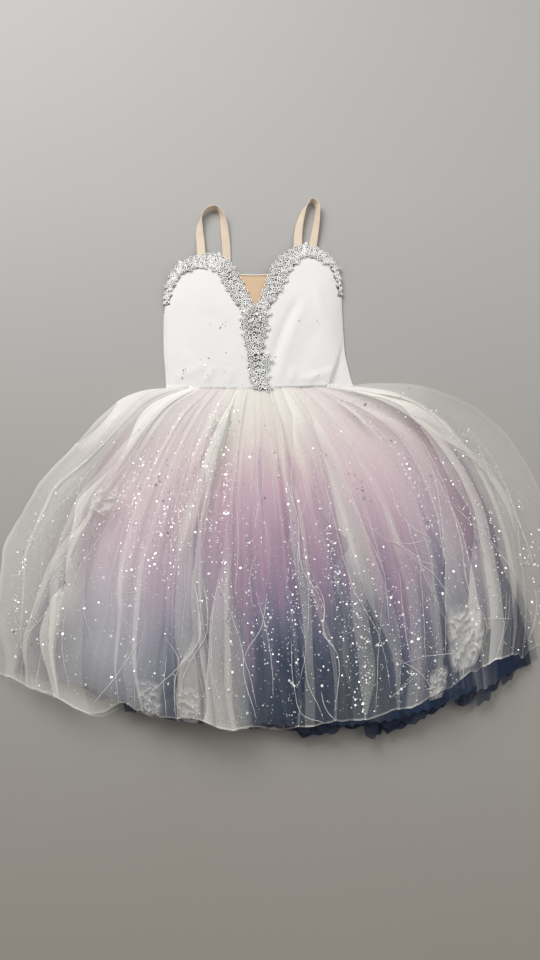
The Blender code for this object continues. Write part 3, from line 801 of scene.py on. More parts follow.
@dataclass(frozen=True)
class DyedTulleFinish:
    """Tulle dyed down its length, with streaks where its gathers lie over each other. Painted light lightens the
    streaks and the upper right side, and the left side is paler.
    """

    name: str
    stops: tuple[tuple[float, Colour], ...]
    opacity: float
    edge: float  # how opaque it is at its sides
    streaks: float = 0.10
    patchy: float = 0.5  # how uneven its opacity is
    pale: Colour = (0.92, 0.81, 0.86)  # the paler colour of the sides: painted light on the upper right, and paler towards the left
    pale_low: Colour = (0.66, 0.67, 0.75)  # the same near the hem
    pale_left: float = 0.84
    painted_light_right: float = 0.62
    strips: float = 0.30  # how far down neighbouring gathered strips differ in their dye
    crests: float = 1.10  # how pale the palest strips are

    def make(self) -> bpy.types.Material:
        """The material."""
        shader = Shader(self.name, self.stops[0][1], 0.85)
        shader.set("Sheen Weight", 0.12)
        shader.set("Specular IOR Level", 0.15)
        across, down = shader.attribute("across"), shader.attribute("down")
        cloth = shader.node("ShaderNodeCombineXYZ")
        shader.links.new(shader.math("MULTIPLY", across, 34.0), cloth.inputs[0])
        shader.links.new(shader.math("MULTIPLY", down, 2.2), cloth.inputs[1])
        streak = shader.noise(1.0, cloth.outputs[0], detail=3.0)
        broad = shader.node("ShaderNodeCombineXYZ")
        shader.links.new(shader.math("MULTIPLY", across, 9.0), broad.inputs[0])
        shader.links.new(shader.math("MULTIPLY", down, 1.4), broad.inputs[1])
        cloud = shader.noise(1.0, broad.outputs[0], detail=1.0)
        broad_strip, fine_strip = shader.strips(across, down, 11.0, 3.0), shader.strips(across, down, 23.0, 8.0)
        strip = shader.math("MULTIPLY_ADD", broad_strip, 0.6, shader.math("MULTIPLY", fine_strip, 0.4))
        shift = shader.math("ADD", shader.math("MULTIPLY_ADD", streak, self.streaks, -self.streaks / 2),
                            shader.math("MULTIPLY_ADD", cloud, 0.30, -0.15))
        shift = shader.math("ADD", shift, shader.math("MULTIPLY_ADD", strip, self.strips, -self.strips / 2))
        left = self._share(shader, shader.math("MULTIPLY_ADD", across, -2.4, -0.60))
        place = shader.math("SUBTRACT", shader.math("ADD", down, shift), shader.math("MULTIPLY", left, 0.05))
        # the upper right, paled as painted light
        right = self._share(shader, shader.math("MULTIPLY_ADD", across, 2.6, -0.40))
        upper = self._share(shader, shader.math("MULTIPLY_ADD", down, -2.4, 1.55))
        lower = self._share(shader, shader.math("MULTIPLY_ADD", down, -6.0, 6.1))
        colour = shader.ramp(place, self.stops)
        # painted light: the streaks lightened towards near white, less towards the hem
        streak_light = shader.math("MULTIPLY_ADD", streak, 0.8, 0.10)
        painted_streak_light = shader.math("MULTIPLY", streak_light, shader.math("MULTIPLY_ADD", down, -0.11, 0.13))
        colour = shader.blend(painted_streak_light, colour, (0.95, 0.93, 0.93))
        crest = shader.math("MULTIPLY", shader.math("POWER", strip, 4.0), self.crests)
        colour = shader.blend(crest, colour, self.pale_low)
        # painted light paling the upper right side, and a paler left towards the hem
        pale = shader.math("ADD", shader.math("MULTIPLY", shader.math("MULTIPLY", left, lower), self.pale_left),
                           shader.math("MULTIPLY", shader.math("MULTIPLY", right, upper), self.painted_light_right))
        low = self._share(shader, shader.math("MULTIPLY_ADD", down, 3.6, -1.9))
        bare = shader.blend(low, self.pale, self.pale_low)
        pale = shader.math("MULTIPLY", pale, shader.math("MULTIPLY_ADD", strip, 0.7, 0.65))
        far = self._share(shader, shader.math("MULTIPLY_ADD", shader.math("ABSOLUTE", across), 4.0, -2.9))
        far = shader.math("MULTIPLY", far, low)
        pale = shader.math("MULTIPLY", pale, shader.math("MULTIPLY_ADD", far, -0.8, 1.0))
        shader.feed(shader.blend(self._share(shader, pale), colour, bare), "Base Color")
        side = shader.math("POWER", shader.math("ABSOLUTE", across), 5.0)
        alpha = shader.math("MULTIPLY_ADD", side, self.edge - self.opacity, self.opacity)
        uneven = shader.math("MULTIPLY_ADD", streak, self.patchy, 1.0 - self.patchy / 2)
        shader.feed(shader.math("MINIMUM", shader.math("MULTIPLY", alpha, uneven), 1.0), "Alpha")
        return shader.material

    @staticmethod
    def _share(shader: Shader, value: bpy.types.NodeSocket) -> bpy.types.NodeSocket:
        """A value held between 0 and 1."""
        return shader.math("MINIMUM", shader.math("MAXIMUM", value, 0.0), 1.0)


@dataclass(frozen=True)
class CreaseFinish:
    """Sheer tulle where it is creased to a sharp line: many threads deep, so nearly opaque."""

    name: str
    colour: Colour = (0.97, 0.955, 0.93)
    opacity: float = 0.68

    def make(self) -> bpy.types.Material:
        """The material."""
        shader = Shader(self.name, self.colour, 0.5)
        shader.set("Specular IOR Level", 0.4)
        patches = shader.noise(160.0, detail=2.0)
        shader.feed(shader.math("MULTIPLY", self.opacity * 2, patches), "Alpha")
        shader.feed(shader.blend(patches, (0.86, 0.855, 0.84), self.colour), "Base Color")
        shader.bump(shader.noise(1400.0), 0.0002)
        return shader.material


def floor_finish() -> bpy.types.Material:
    """The plain pale floor: a smooth matt covering with the faintest grain, and painted shade that makes it darker and
    warmer towards the hem.
    """
    shader = Shader("floor_covering", (0.43, 0.43, 0.42), 0.75)
    shader.set("Specular IOR Level", 0.3)
    split = shader.node("ShaderNodeSeparateXYZ")
    shader.links.new(shader.object_place(), split.inputs[0])
    near = shader.math("MULTIPLY_ADD", split.outputs[1], 0.9, 0.62)  # painted shade: darker and warmer towards the hem
    near = shader.math("MINIMUM", shader.math("MAXIMUM", near, 0.0), 1.0)
    painted_shade_and_tone = shader.math("ADD", near, shader.math("MULTIPLY_ADD", shader.noise(3.0, detail=4.0), 0.16, -0.08))
    # the darker, warmer colour is painted shade towards the hem
    shader.feed(shader.blend(painted_shade_and_tone, (0.335, 0.314, 0.280), (0.440, 0.440, 0.432)), "Base Color")
    shader.bump(shader.noise(900.0), 0.0001)
    return shader.material


# Pieces


@dataclass
class Bodice:
    """The white stretch bodice: front, back and the mesh insert in the V."""

    form: BodiceForm
    left_armhole: float = 0.07
    right_armhole: float = 0.05
    back_scoop: float = 0.030
    insert_top: float = 0.2625
    insert_bottom: float = 0.1950
    insert_lap: float = 0.0085

    def build(self) -> None:
        """Builds and dresses the bodice's pieces."""
        knit = ClothFinish("white_knit", (0.90, 0.90, 0.885), (0.84, 0.84, 0.83), 1500.0, 0.00012).make()
        self._front(knit)
        self._back(knit)
        self._insert()
        self._bindings(knit)

    def neck_edge(self, across: float) -> Vector:
        """The edge of the front over a place across it."""
        side, armhole = (
            (Side.LEFT, self.left_armhole) if across < 0 else (Side.RIGHT, self.right_armhole))
        return self.form.cup_point(side, 1 - abs(across) * (1 - armhole))

    def _front(self, knit: bpy.types.Material) -> None:
        """The front panel with its creases."""

        def place(u: float, v: float) -> Vector:
            across = math.sin((u - 0.5) * math.pi) * 0.5 + (2 * u - 1) * 0.5
            point = self.form.panel_point(across, v, self.neck_edge(across))
            return Vector((point.x, point.y, self.form.height(point.x, point.y)))

        front = make_object("bodice_front_cloth", sheet_mesh("front", place, 110, 80), knit)
        thicken(front, self.form.cloth * 0.8)
        attach(front, "bodice_cloth", "bodice_front")

    def _back(self, knit: bpy.types.Material) -> None:
        """The back panel, flat on the floor, seen past the edges of the front."""
        left, right = self.form.cup_point(Side.LEFT, 0.0), self.form.cup_point(Side.RIGHT, 0.0)

        def place(u: float, v: float) -> Vector:
            across = 2 * u - 1
            top = left.lerp(right, u)
            top.y -= self.back_scoop * (1 - across**2) ** 2
            point = self.form.panel_point(across, v, top)
            ripple = 0.00015 * noise.noise(Vector((point.x * 30, point.y * 30, 1.0)))
            return Vector((point.x, point.y, self.form.cloth / 2 + abs(ripple)))

        back = make_object("bodice_back_cloth", sheet_mesh("back", place, 60, 40), knit)
        thicken(back, self.form.cloth * 0.8)
        attach(back, "bodice_cloth", "bodice_back")

    def _insert_point(self, u: float, v: float, out: float) -> Vector:
        """A point of the insert, out being its distance over its middle surface."""
        form = self.form
        y = self.insert_bottom + (self.insert_top - self.insert_bottom) * v
        left = right = None
        for side in Side:
            shares = np.linspace(0.66, 1.0, 18)
            points = [form.cup_point(side, s) for s in shares]
            x = float(np.interp(max(y, 0.202), [p.y for p in points][::-1], [p.x for p in points][::-1]))
            left, right = (x - self.insert_lap, right) if side is Side.LEFT else (left, x + self.insert_lap)
        x = left + (right - left) * u
        y -= 0.0015 * v * math.sin(math.pi * u)
        drop = form.cloth / 2 + 2 * GAP + 0.0005
        return form.off(x, y, out - drop, creased=False)

    def _insert(self) -> None:
        """The skin-coloured mesh in the V."""
        skin = ClothFinish("skin_mesh", (0.71, 0.515, 0.350), (0.67, 0.475, 0.320), 2200.0, 0.00008, sheen=0.1).make()
        bm = sheet_mesh("insert", lambda u, v: self._insert_point(u, v, 0.0), 28, 24)
        insert = make_object("neck_insert_mesh", bm, skin)
        thicken(insert, 0.0008)
        attach(insert, "insert_mesh", "neck_insert")

    def _bindings(self, knit: bpy.types.Material) -> None:
        """The turned edge along the insert's top and the side seams of the front."""
        pale = ClothFinish("insert_binding", (0.97, 0.90, 0.79), (0.92, 0.84, 0.70), 2600.0, 0.0001).make()
        top = [self._insert_point(u, 0.995, 0.0008) for u in np.linspace(0.06, 0.94, 30)]
        attach(cords_mesh("neck_insert_binding", [top], 0.0013, False, pale), "insert_mesh")
        stitches = []
        for side, seam in ((Side.LEFT, self.form.seam_left), (Side.RIGHT, self.form.seam_right)):
            for y in np.arange(0.090, 0.198, 0.0034):
                x = seam(y) - side.value * 0.0052
                stitches.append([self.form.off(x, y + t, 0.00062) for t in (0.0, 0.0011, 0.0022)])
        attach(cords_mesh("side_seam_stitches", stitches, 0.00022, False, knit, 0), "bodice_cloth")


@dataclass(frozen=True)
class Petal:
    """One loop of the lace's cord: a leaf, a petal or a ring."""

    middle: Vector
    turn: float
    length: float
    width: float
    point: float  # 0 for a ring, towards 1 for a leaf with a point

    def inside(self, share: float) -> Petal:
        """A smaller loop of the same form inside this one."""
        return Petal(self.middle, self.turn, self.length * share, self.width * share, self.point)

    def outline(self, lift: Callable[[float, float], Vector], points: int = 14) -> list[Vector]:
        """The cord's path.

        Args:
            lift: Gives the point over the bodice for a plan place.
            points: How many points the loop has.

        Returns:
            The points round the loop.
        """
        path = []
        for i in range(points):
            angle = 2 * math.pi * i / points
            along = math.cos(angle) * self.length / 2
            side = math.sin(angle) * self.width / 2 * (1 - self.point * math.cos(angle))
            x = self.middle.x + along * math.cos(self.turn) - side * math.sin(self.turn)
            y = self.middle.y + along * math.sin(self.turn) + side * math.cos(self.turn)
            path.append(lift(x, y))
        return path


@dataclass
class Lace:
    """Silver lace: a net ground, loops of cord, and beads and spangles, with a dark thread inside the larger loops as
    painted shade between the cords.
    """

    form: BodiceForm
    cord: float = 0.00080
    # radius of the dark thread, painted shade between the cords
    thread: float = 0.00050
    base: float = 0.0016  # how far the ground lies over the middle of the cloth
    start: float = 0.02
    end: float = 0.998
    flower: float = 0.016
    pitch: float = 0.0090  # from one scallop to the next

    def build(self) -> None:
        """Builds the lace of both cups and of the centre front."""
        self.rng = random.Random(41)
        self.ground_look = LaceGroundFinish("lace_ground").make()
        self.cord_look = ThreadFinish("silver_cord", (0.99, 0.99, 0.97), (0.88, 0.88, 0.86), 0.0, 0.40).make()
        # the dark thread stands for painted shade: the shadow lines between the cords
        self.shade_thread_look = ThreadFinish("painted_shade_thread", (0.10, 0.10, 0.095), (0.03, 0.03, 0.03), 0.3, 0.4).make()
        self.bead_look = SpangleFinish("lace_spangles", metallic=0.7, roughness=0.2).make()
        left = SmoothCurve((0.0, 0.1, 0.3, 0.55, 0.8, 1.0), (0.007, 0.014, 0.023, 0.024, 0.027, 0.022))
        right = SmoothCurve((0.0, 0.1, 0.3, 0.5, 0.8, 1.0), (0.005, 0.012, 0.020, 0.022, 0.023, 0.018))
        shares = (0.0, 0.1, 0.3, 0.55, 0.73, 0.85, 1.0)
        self._cup(Side.LEFT, "lace_left", left, SmoothCurve(shares, (0.0, .0012, -.0008, -.0008, .0010, .0022, .0020)),
                  1.0)
        self._cup(Side.RIGHT, "lace_right", right, SmoothCurve(shares, (-.0015, -.0015, .0004, .0020, .0060, .0058,
                                                                        .0020)), -1.0)
        self._centre()

    def _lift(self, out: float) -> Callable[[float, float], Vector]:
        """Gives points that lie a distance over the bodice."""
        return lambda x, y: self.form.off(x, y, out, creased=False)

    def _cup(self, side: Side, node: str, width: SmoothCurve, overhang: SmoothCurve, inward: float) -> None:
        """The lace along one cup.

        Args:
            side: Which cup.
            node: The solid that it stands for.
            width: The lace's width along the edge.
            overhang: How far it hangs over the edge.
            inward: 1 if the cloth lies to the right of the edge as it runs, else -1.
        """
        shares = np.linspace(self.start, self.end, 200)
        points = [self.form.cup_point(side, s) for s in shares]
        runs = np.concatenate([[0], np.cumsum([(b - a).length for a, b in zip(points, points[1:])])])
        length = float(runs[-1])
        flowers = round(length / self.flower)

        def spot(u: float, v: float) -> Vector:
            share = float(np.interp(u * length, runs, shares))
            low, high = max(share - 0.05, 0.0), min(share + 0.05, 1.0)
            along = (self.form.cup_point(side, high) - self.form.cup_point(side, low)).normalized()
            into = Vector((along.y, -along.x)) * inward
            beat = math.cos(2 * math.pi * flowers * u)
            over = (overhang(share) + 0.0008 * beat) * min(1.0, 6 * (self.end - share))
            return self.form.cup_point(side, share) + into * (-over + (width(share) + 0.0016 * beat + over) * v)

        self._dress(node, spot, length)

    def _centre(self) -> None:
        """The lace down the centre front."""
        y = (0.0720, 0.089, 0.104, 0.120, 0.130, 0.142, 0.153, 0.169, 0.183, 0.196, 0.206)
        left = SmoothCurve(y, (-.032, -.038, -.040, -.041, -.042, -.045, -.048, -.0505, -.0510, -.045, -.038))
        right = SmoothCurve(y, (-.004, -.012, -.012, -.008, -.017, -.0175, -.016, -.012, -.0115, -.010, -.018))

        def spot(u: float, v: float) -> Vector:
            top = 0.2050 - 0.0080 * abs(2 * v - 1)
            place = top + (y[0] - top) * u
            beat = math.cos(2 * math.pi * 7.5 * (1 - u)) * min(1.0, 8 * u, 8 * (1 - u))
            near, far = left(place) - 0.0022 * beat, right(place) + 0.0022 * beat
            return Vector((near + (far - near) * v, place))

        self._dress("lace_centre", spot, 0.131)

    def _dress(self, node: str, spot: Place, length: float) -> None:
        """Ground, cords, spangles and the dark thread of painted shade of one run of lace.

        Args:
            node: The solid that it stands for.
            spot: Gives the plan place for u along the lace and v across it.
            length: Of the run.
        """
        def ground(u: float, v: float) -> Vector:
            edge = spot(u, v)
            ragged = 0.0010 * math.sin(2 * math.pi * u * length / 0.0062 + 4 * v)
            edge = edge.lerp(spot(u, 0.5), 0.10 + ragged * 60 * abs(v - 0.5))
            return self.form.off(edge.x, edge.y, self.base - 0.0004, creased=False)

        net = make_object(node + "_ground", sheet_mesh(node, ground, int(length / 0.0016), 14), self.ground_look)
        thicken(net, 0.0006)
        attach(net, "lace", node)
        petals = list(self._petals(spot, length))
        heights = [self.base + 0.0005 + 0.0011 * self.rng.random() for _ in petals]
        paths = [p.outline(self._lift(h)) for p, h in zip(petals, heights)]
        attach(cords_mesh(node + "_cords", paths, self.cord, True, self.cord_look), "lace")
        # dark thread inside the larger loops: painted shade, the shadow lines between the cords
        dark = [p.inside(0.70).outline(self._lift(h - 0.0001)) for p, h in zip(petals, heights)
                if p.width > 0.0034]
        attach(cords_mesh(node + "_painted_shade_thread", dark, self.thread, True, self.shade_thread_look, 0), "lace")
        attach(self._spangles(node + "_spangles", spot, petals, length), "lace")

    def _petals(self, spot: Place, length: float) -> Iterable[Petal]:
        """The loops of cord over one run: doubled scallops at both edges, rings and leaves between them."""
        count = round(length / self.pitch)
        for i in range(count):
            u = (i + 0.5) / count
            across = spot(u, 1.0) - spot(u, 0.0)
            wide = across.length
            inward = math.atan2(across.y, across.x)
            size = min(self.pitch * 1.12, wide * 0.52)
            for v, way, shift in ((0.5 * size / wide, inward + math.pi, 0.0), (1 - 0.5 * size / wide, inward, 0.5)):
                place = spot(min(max(u + (shift + self.rng.uniform(-0.12, 0.12)) / count, 0.0), 1.0), v)
                turn = way + self.rng.uniform(-0.35, 0.35)
                point = self.rng.uniform(0.15, 0.55)
                for share in (1.0, 0.42):
                    yield Petal(place, turn, size * share, size * share * 0.78, point)
            for turn in (-1.0, 0.9):
                leaf = self.rng.uniform(0.55, 0.75) * size
                place = spot(min(u + self.rng.uniform(0.0, 0.5) / count, 1.0), 0.5 + 0.12 * turn)
                yield Petal(place, inward + math.pi / 2 + turn, leaf, leaf * 0.5, 0.6)
            if wide > 2.3 * size:
                ring = self.rng.uniform(0.0034, 0.0046)
                yield Petal(spot(u, 0.5), 0.0, ring, ring, 0.0)
            if self.rng.random() < 0.35:
                tip = self.rng.uniform(0.0060, 0.0100)
                v, way = ((0.02, inward + math.pi) if self.rng.random() < 0.25 else (1.03, inward))
                turn = way + self.rng.uniform(-0.8, 0.8)
                yield Petal(spot(u, v), turn, tip, tip * 0.48, 0.7)
                yield Petal(spot(u, v), turn, tip * 0.4, tip * 0.1, 0.5)

    def _spangles(self, name: str, spot: Place, petals: Sequence[Petal], length: float) -> bpy.types.Object:
        """Beads in the loops and small spangles over the ground."""
        spots = []
        for petal in petals:
            if self.rng.random() < 0.16:
                spots.append((petal.middle, self.rng.uniform(0.0006, 0.0010)))
        for _ in range(int(length * 900)):
            spots.append((spot(self.rng.random(), 0.04 + 0.92 * self.rng.random()),
                          self.rng.uniform(0.0005, 0.0010)))
        discs = []
        for place, size in spots:
            middle = self.form.off(place.x, place.y, self.base + self.rng.uniform(0.0002, 0.0022), creased=False)
            tilt = Vector((self.rng.gauss(0, 0.35), self.rng.gauss(0, 0.35), 1.0))
            # painted glint: about half the spangles painted bright as catching the light, the rest painted dark as
            # mirroring shade
            painted_glint = 1.0 if self.rng.random() < 0.45 else self.rng.uniform(0.0, 0.35)
            discs.append(Disc(middle, tilt, size, painted_glint))
        return disc_mesh(name, discs, 6, self.bead_look)


@dataclass(frozen=True)
class Disc:
    """A sequin: its middle, the way it faces, its radius and its painted glint from 0 to 1, how bright a reflection is
    painted into its colour.
    """

    middle: Vector
    facing: Vector
    radius: float
    painted_glint: float


def disc_mesh(name: str, discs: Sequence[Disc], sides: int, material: bpy.types.Material) -> bpy.types.Object:
    """All of a piece's sequins as one mesh, built in small batches.

    Args:
        name: The piece's name.
        discs: The sequins.
        sides: Corners of each.
        material: Their finish.

    Returns:
        The object, linked to the scene.
    """
    whole = bmesh.new()
    for first in range(0, len(discs), 80):
        batch = bmesh.new()
        # the painted glint of each sequin
        painted_glint = batch.verts.layers.float.new("painted_glint")
        for disc in discs[first:first + 80]:
            turned = disc.facing.to_track_quat("Z", "Y").to_matrix().to_4x4()
            made = bmesh.ops.create_circle(batch, cap_ends=True, segments=sides, radius=disc.radius,
                                           matrix=Matrix.Translation(disc.middle) @ turned)
            for vertex in made["verts"]:
                vertex[painted_glint] = disc.painted_glint
        held = bpy.data.meshes.new("batch")
        batch.to_mesh(held)
        batch.free()
        whole.from_mesh(held)
        bpy.data.meshes.remove(held)
    obj = make_object(name, whole, material)
    obj.data.shade_flat()
    return obj


@dataclass
class Strap:
    """A looped elastic strap that turns on edge round its loop."""

    name: str
    rows: tuple[tuple[float, float, float, float], ...]  # x, y, z and turn in degrees
    form: BodiceForm
    width: float = 0.0127
    wall: float = 0.0011

    def build(self, look: bpy.types.Material) -> None:
        """Builds and dresses the strap."""
        tuck = self.form.cloth / 2 + 2 * GAP + self.wall / 2
        rows = [(x, y, self.form.plain_height(x, y) - tuck if i < 2 else z, turn)
                for i, (x, y, z, turn) in enumerate(self.rows)]
        points = [Vector(row[:3]) for row in rows]
        runs = np.concatenate([[0], np.cumsum([(b - a).length for a, b in zip(points, points[1:])])])
        curves = [SmoothCurve(runs, column, rounded=i < 2) for i, column in enumerate(zip(*rows))]
        length = float(runs[-1])

        def middle(run: float) -> Vector:
            return Vector([curve(run) for curve in curves[:3]])

        def place(u: float, v: float) -> Vector:
            run = u * length
            along = (middle(min(run + 0.003, length)) - middle(max(run - 0.003, 0.0))).normalized()
            level = Vector((along.y, -along.x, 0.0)).normalized()
            turn = math.radians(curves[3](run))
            across = level * math.cos(turn) + Vector((0.0, 0.0, 1.0)) * math.sin(turn)
            normal = along.cross(across).normalized()
            ripple = 0.00025 * math.sin(run * 260) * math.sin(math.pi * v)
            return middle(run) + across * (v - 0.5) * self.width + normal * ripple

        band = make_object(self.name + "_elastic", sheet_mesh(self.name, place, 150, 10), look)
        thicken(band, self.wall * 0.9)
        attach(band, "elastic", self.name)


@dataclass(frozen=True)
class Fold:
    """A fold where the sheer layer doubles back over itself.

    rows hold how far down each point of its middle line lies, how far across, and the fold's width in metres.
    """

    rows: tuple[tuple[float, float, float], ...]
    lift: float = 0.0014
    crisp: float = 0.25  # how much its turned edges show

    def __post_init__(self) -> None:
        """Fits the line and the width."""
        down, across, width = zip(*self.rows)
        object.__setattr__(self, "line", SmoothCurve(down, across))
        object.__setattr__(self, "wide", SmoothCurve(down, width))


@dataclass(frozen=True)
class Column:
    """One line of vertices down the front of the overlay, at a place in a fold or between two of them."""

    fold: int
    offset: float  # from the fold's middle line, in half widths
    level: float  # in lifts over the cloth beside the fold
    share: float = -1.0  # between this fold and the next, or -1 in the fold
    edge: float = 0.0  # 1 on a turned edge


FOLDS = (
    Fold(((0.10, -0.25, 0.001), (0.14, -0.26, 0.008), (0.35, -0.31, 0.014), (0.50, -0.33, 0.008),
          (0.62, -0.35, 0.002), (1.0, -0.36, 0.001)), 0.0016, 0.4),
    Fold(((0.30, -0.27, 0.001), (0.61, -0.28, 0.006), (0.76, -0.26, 0.010), (0.88, -0.33, 0.005),
          (1.0, -0.35, 0.004)), 0.0018, 0.9),
    Fold(((0.40, -0.15, 0.001), (0.57, -0.17, 0.008), (0.77, -0.20, 0.026), (1.0, -0.21, 0.036)),
         0.0012, 0.6),
    Fold(((0.20, 0.11, 0.001), (0.30, 0.12, 0.004), (0.51, 0.13, 0.005), (0.60, 0.125, 0.004),
          (0.72, 0.165, 0.007), (0.82, 0.195, 0.005), (1.0, 0.19, 0.003)), 0.0022, 1.0),
    Fold(((0.12, 0.34, 0.003), (0.20, 0.335, 0.012), (0.55, 0.32, 0.024), (0.67, 0.345, 0.026),
          (0.80, 0.39, 0.018), (0.90, 0.41, 0.008), (1.0, 0.42, 0.004)), 0.0014, 0.45),
    Fold(((0.10, 0.61, 0.001), (0.30, 0.675, 0.018), (0.62, 0.64, 0.024), (0.80, 0.635, 0.042),
          (0.88, 0.645, 0.040), (0.93, 0.65, 0.024), (1.0, 0.66, 0.012)), 0.0020, 0.7),
    Fold(((0.15, 0.56, 0.001), (0.32, 0.57, 0.006), (0.45, 0.575, 0.008), (0.60, 0.56, 0.004),
          (0.8, 0.55, 0.002), (1.0, 0.54, 0.001)), 0.0014, 0.8),
    Fold(((0.25, 0.76, 0.001), (0.35, 0.78, 0.006), (0.52, 0.85, 0.010), (0.74, 0.87, 0.006),
          (1.0, 0.88, 0.002)), 0.0014, 0.7),
    Fold(((0.30, -0.70, 0.001), (0.45, -0.72, 0.006), (0.59, -0.76, 0.009), (0.85, -0.86, 0.006),
          (1.0, -0.90, 0.003)), 0.0014, 0.9),
    Fold(((0.45, 0.44, 0.001), (0.57, 0.46, 0.004), (0.67, 0.53, 0.005), (0.77, 0.555, 0.003),
          (1.0, 0.565, 0.001)), 0.0012, 0.8),
)


OVERLAY_HAZE = (  # across, and how much denser the sheer layer lies there over the lower half of the skirt
    (-1.00, 0.00), (-0.90, -0.04), (-0.80, -0.01), (-0.70, 0.05), (-0.60, 0.16), (-0.50, 0.17), (-0.44, 0.06),
    (-0.40, -0.06), (-0.355, -0.08), (-0.31, 0.05), (-0.24, 0.10), (-0.15, 0.08), (-0.08, 0.0), (-0.02, -0.05),
    (0.17, -0.055), (0.22, -0.04), (0.30, -0.05), (0.40, -0.05), (0.50, -0.01), (0.60, 0.05), (0.70, 0.06),
    (0.80, 0.01), (1.00, 0.0))


@dataclass
class Overlay:
    """The sheer glitter layer: a gathered tube whose front lies in folds."""

    form: SkirtForm
    wild_folds: int = 13
    between: int = 5
    row_count: int = 62
    side_steps: int = 5
    back_columns: int = 44
    profile: tuple[tuple[float, float, float], ...] = (  # offset, level and edge across a fold
        (-1.35, 0.0, 0.0), (0.0, 0.0, 0.0), (0.94, 0.1, 0.1), (1.0, 0.5, 1.0), (0.94, 0.9, 0.1),
        (0.0, 1.0, 0.0), (-0.94, 1.1, 0.1), (-1.0, 1.5, 1.0), (-0.94, 1.9, 0.1), (0.0, 2.0, 0.0),
        (0.90, 2.0, 0.0), (1.45, 1.0, 0.0), (2.2, 0.0, 0.0))

    def build(self) -> bpy.types.Object:
        """Builds and dresses the overlay, and gives it back for the sequins."""
        self.haze = SmoothCurve(*zip(*OVERLAY_HAZE))
        self.folds = sorted([*FOLDS, *self._wild()], key=lambda fold: fold.line(0.55))
        self.columns = self._columns()
        self.rows = [-0.010, -0.006, -0.003]
        self.rows += [0.994 * (i / (self.row_count - 1)) ** 1.12 for i in range(self.row_count)] + [1.0]
        front = len(self.columns)
        total = front + (self.side_steps - 1) * 2 + self.back_columns + 1
        bm = bmesh.new()
        bmesh.ops.create_grid(bm, x_segments=total, y_segments=len(self.rows) - 1, size=0.5)
        layers = {n: bm.verts.layers.float.new(n) for n in ("gather", "across", "down")}
        table = [[self._vertex(i % total, row) for i in range(total + 1)] for row in self.rows]
        for vertex in bm.verts:
            i = round((vertex.co.x + 0.5) * total)
            j = round((vertex.co.y + 0.5) * (len(self.rows) - 1))
            vertex.co, vertex[layers["gather"]], vertex[layers["across"]] = table[j][i]
            vertex[layers["down"]] = self.rows[j]
        bmesh.ops.remove_doubles(bm, verts=bm.verts, dist=0.000001)
        bmesh.ops.recalc_face_normals(bm, faces=bm.faces)
        overlay = make_object("overlay_tulle", bm, SheerTulleFinish("glitter_tulle").make())
        attach(overlay, "overlay_tulle", "skirt_overlay")
        return overlay

    def _wild(self) -> list[Fold]:
        """The smaller folds between the ones that the photo names."""
        rng = random.Random(7)
        made = []
        for i in range(self.wild_folds):
            across = -0.93 + 1.86 * (i + rng.uniform(0.1, 0.9)) / self.wild_folds
            wander = rng.uniform(-0.05, 0.05)
            top, peak = rng.uniform(0.02, 0.30), rng.uniform(0.35, 0.8)
            wide = rng.choice((0.005, 0.008, 0.012, 0.018)) * rng.uniform(0.8, 1.2)
            tail = wide * rng.choice((0.1, 0.4, 1.0, 1.3))
            made.append(Fold(
                ((top, across * 0.97, 0.0005), (top + 0.12, across, wide * 0.5),
                 (peak + 0.1, across + wander, wide), (1.0, across + wander * 0.4, tail)),
                0.0013, rng.uniform(0.2, 0.5)))
        return made

    def _columns(self) -> list[Column]:
        """The order of the vertex columns over the front, from left to right."""
        made = [Column(-1, 0.0, 0.0, i / self.between) for i in range(self.between)]
        for index in range(len(self.folds)):
            made += [Column(index, offset, level, edge=edge) for offset, level, edge in self.profile]
            made += [Column(index, 0.0, 0.0, i / (self.between + 1)) for i in range(1, self.between + 1)]
        made.append(Column(len(self.folds), 0.0, 0.0))
        return made

    def _fold_place(self, index: int, offset: float, down: float) -> float:
        """How far across a place of a fold lies; the skirt's sides count as folds before and after the rest."""
        if index < 0:
            return -1.0
        if index >= len(self.folds):
            return 1.0
        fold = self.folds[index]
        sway = 0.006 * math.sin(9 * down + index * 2.4) + 0.003 * math.sin(23 * down + index)
        width = fold.wide(down) * smooth_step(0.0, 0.12, down)
        middle = fold.line(down) + sway * smooth_step(0.05, 0.3, down)
        return min(max(middle + offset * width / 2 / self.form.half_width(down), -1.0), 1.0)

    def _front(self, column: Column, down: float) -> tuple[float, float, float]:
        """Where a column lies at one row.

        Args:
            column: The column.
            down: The row.

        Returns:
            How far across it is, its rise over the cloth beside, and how gathered the cloth is.
        """
        if column.share >= 0:
            before = self._fold_place(column.fold, self.profile[-1][0], down)
            after = self._fold_place(column.fold + 1, self.profile[0][0], down)
            return before + (after - before) * column.share, 0.0, 0.0
        place = self._fold_place(column.fold, column.offset, down)
        if column.fold < 0 or column.fold >= len(self.folds):
            return place, 0.0, 0.0
        fold = self.folds[column.fold]
        width = fold.wide(down)
        lift = min(fold.lift, width * 0.9) * smooth_step(0.0, 0.10, down)
        show = fold.crisp * smooth_step(0.0008, 0.003, width)
        return place, column.level * lift, 0.6 * show * column.edge

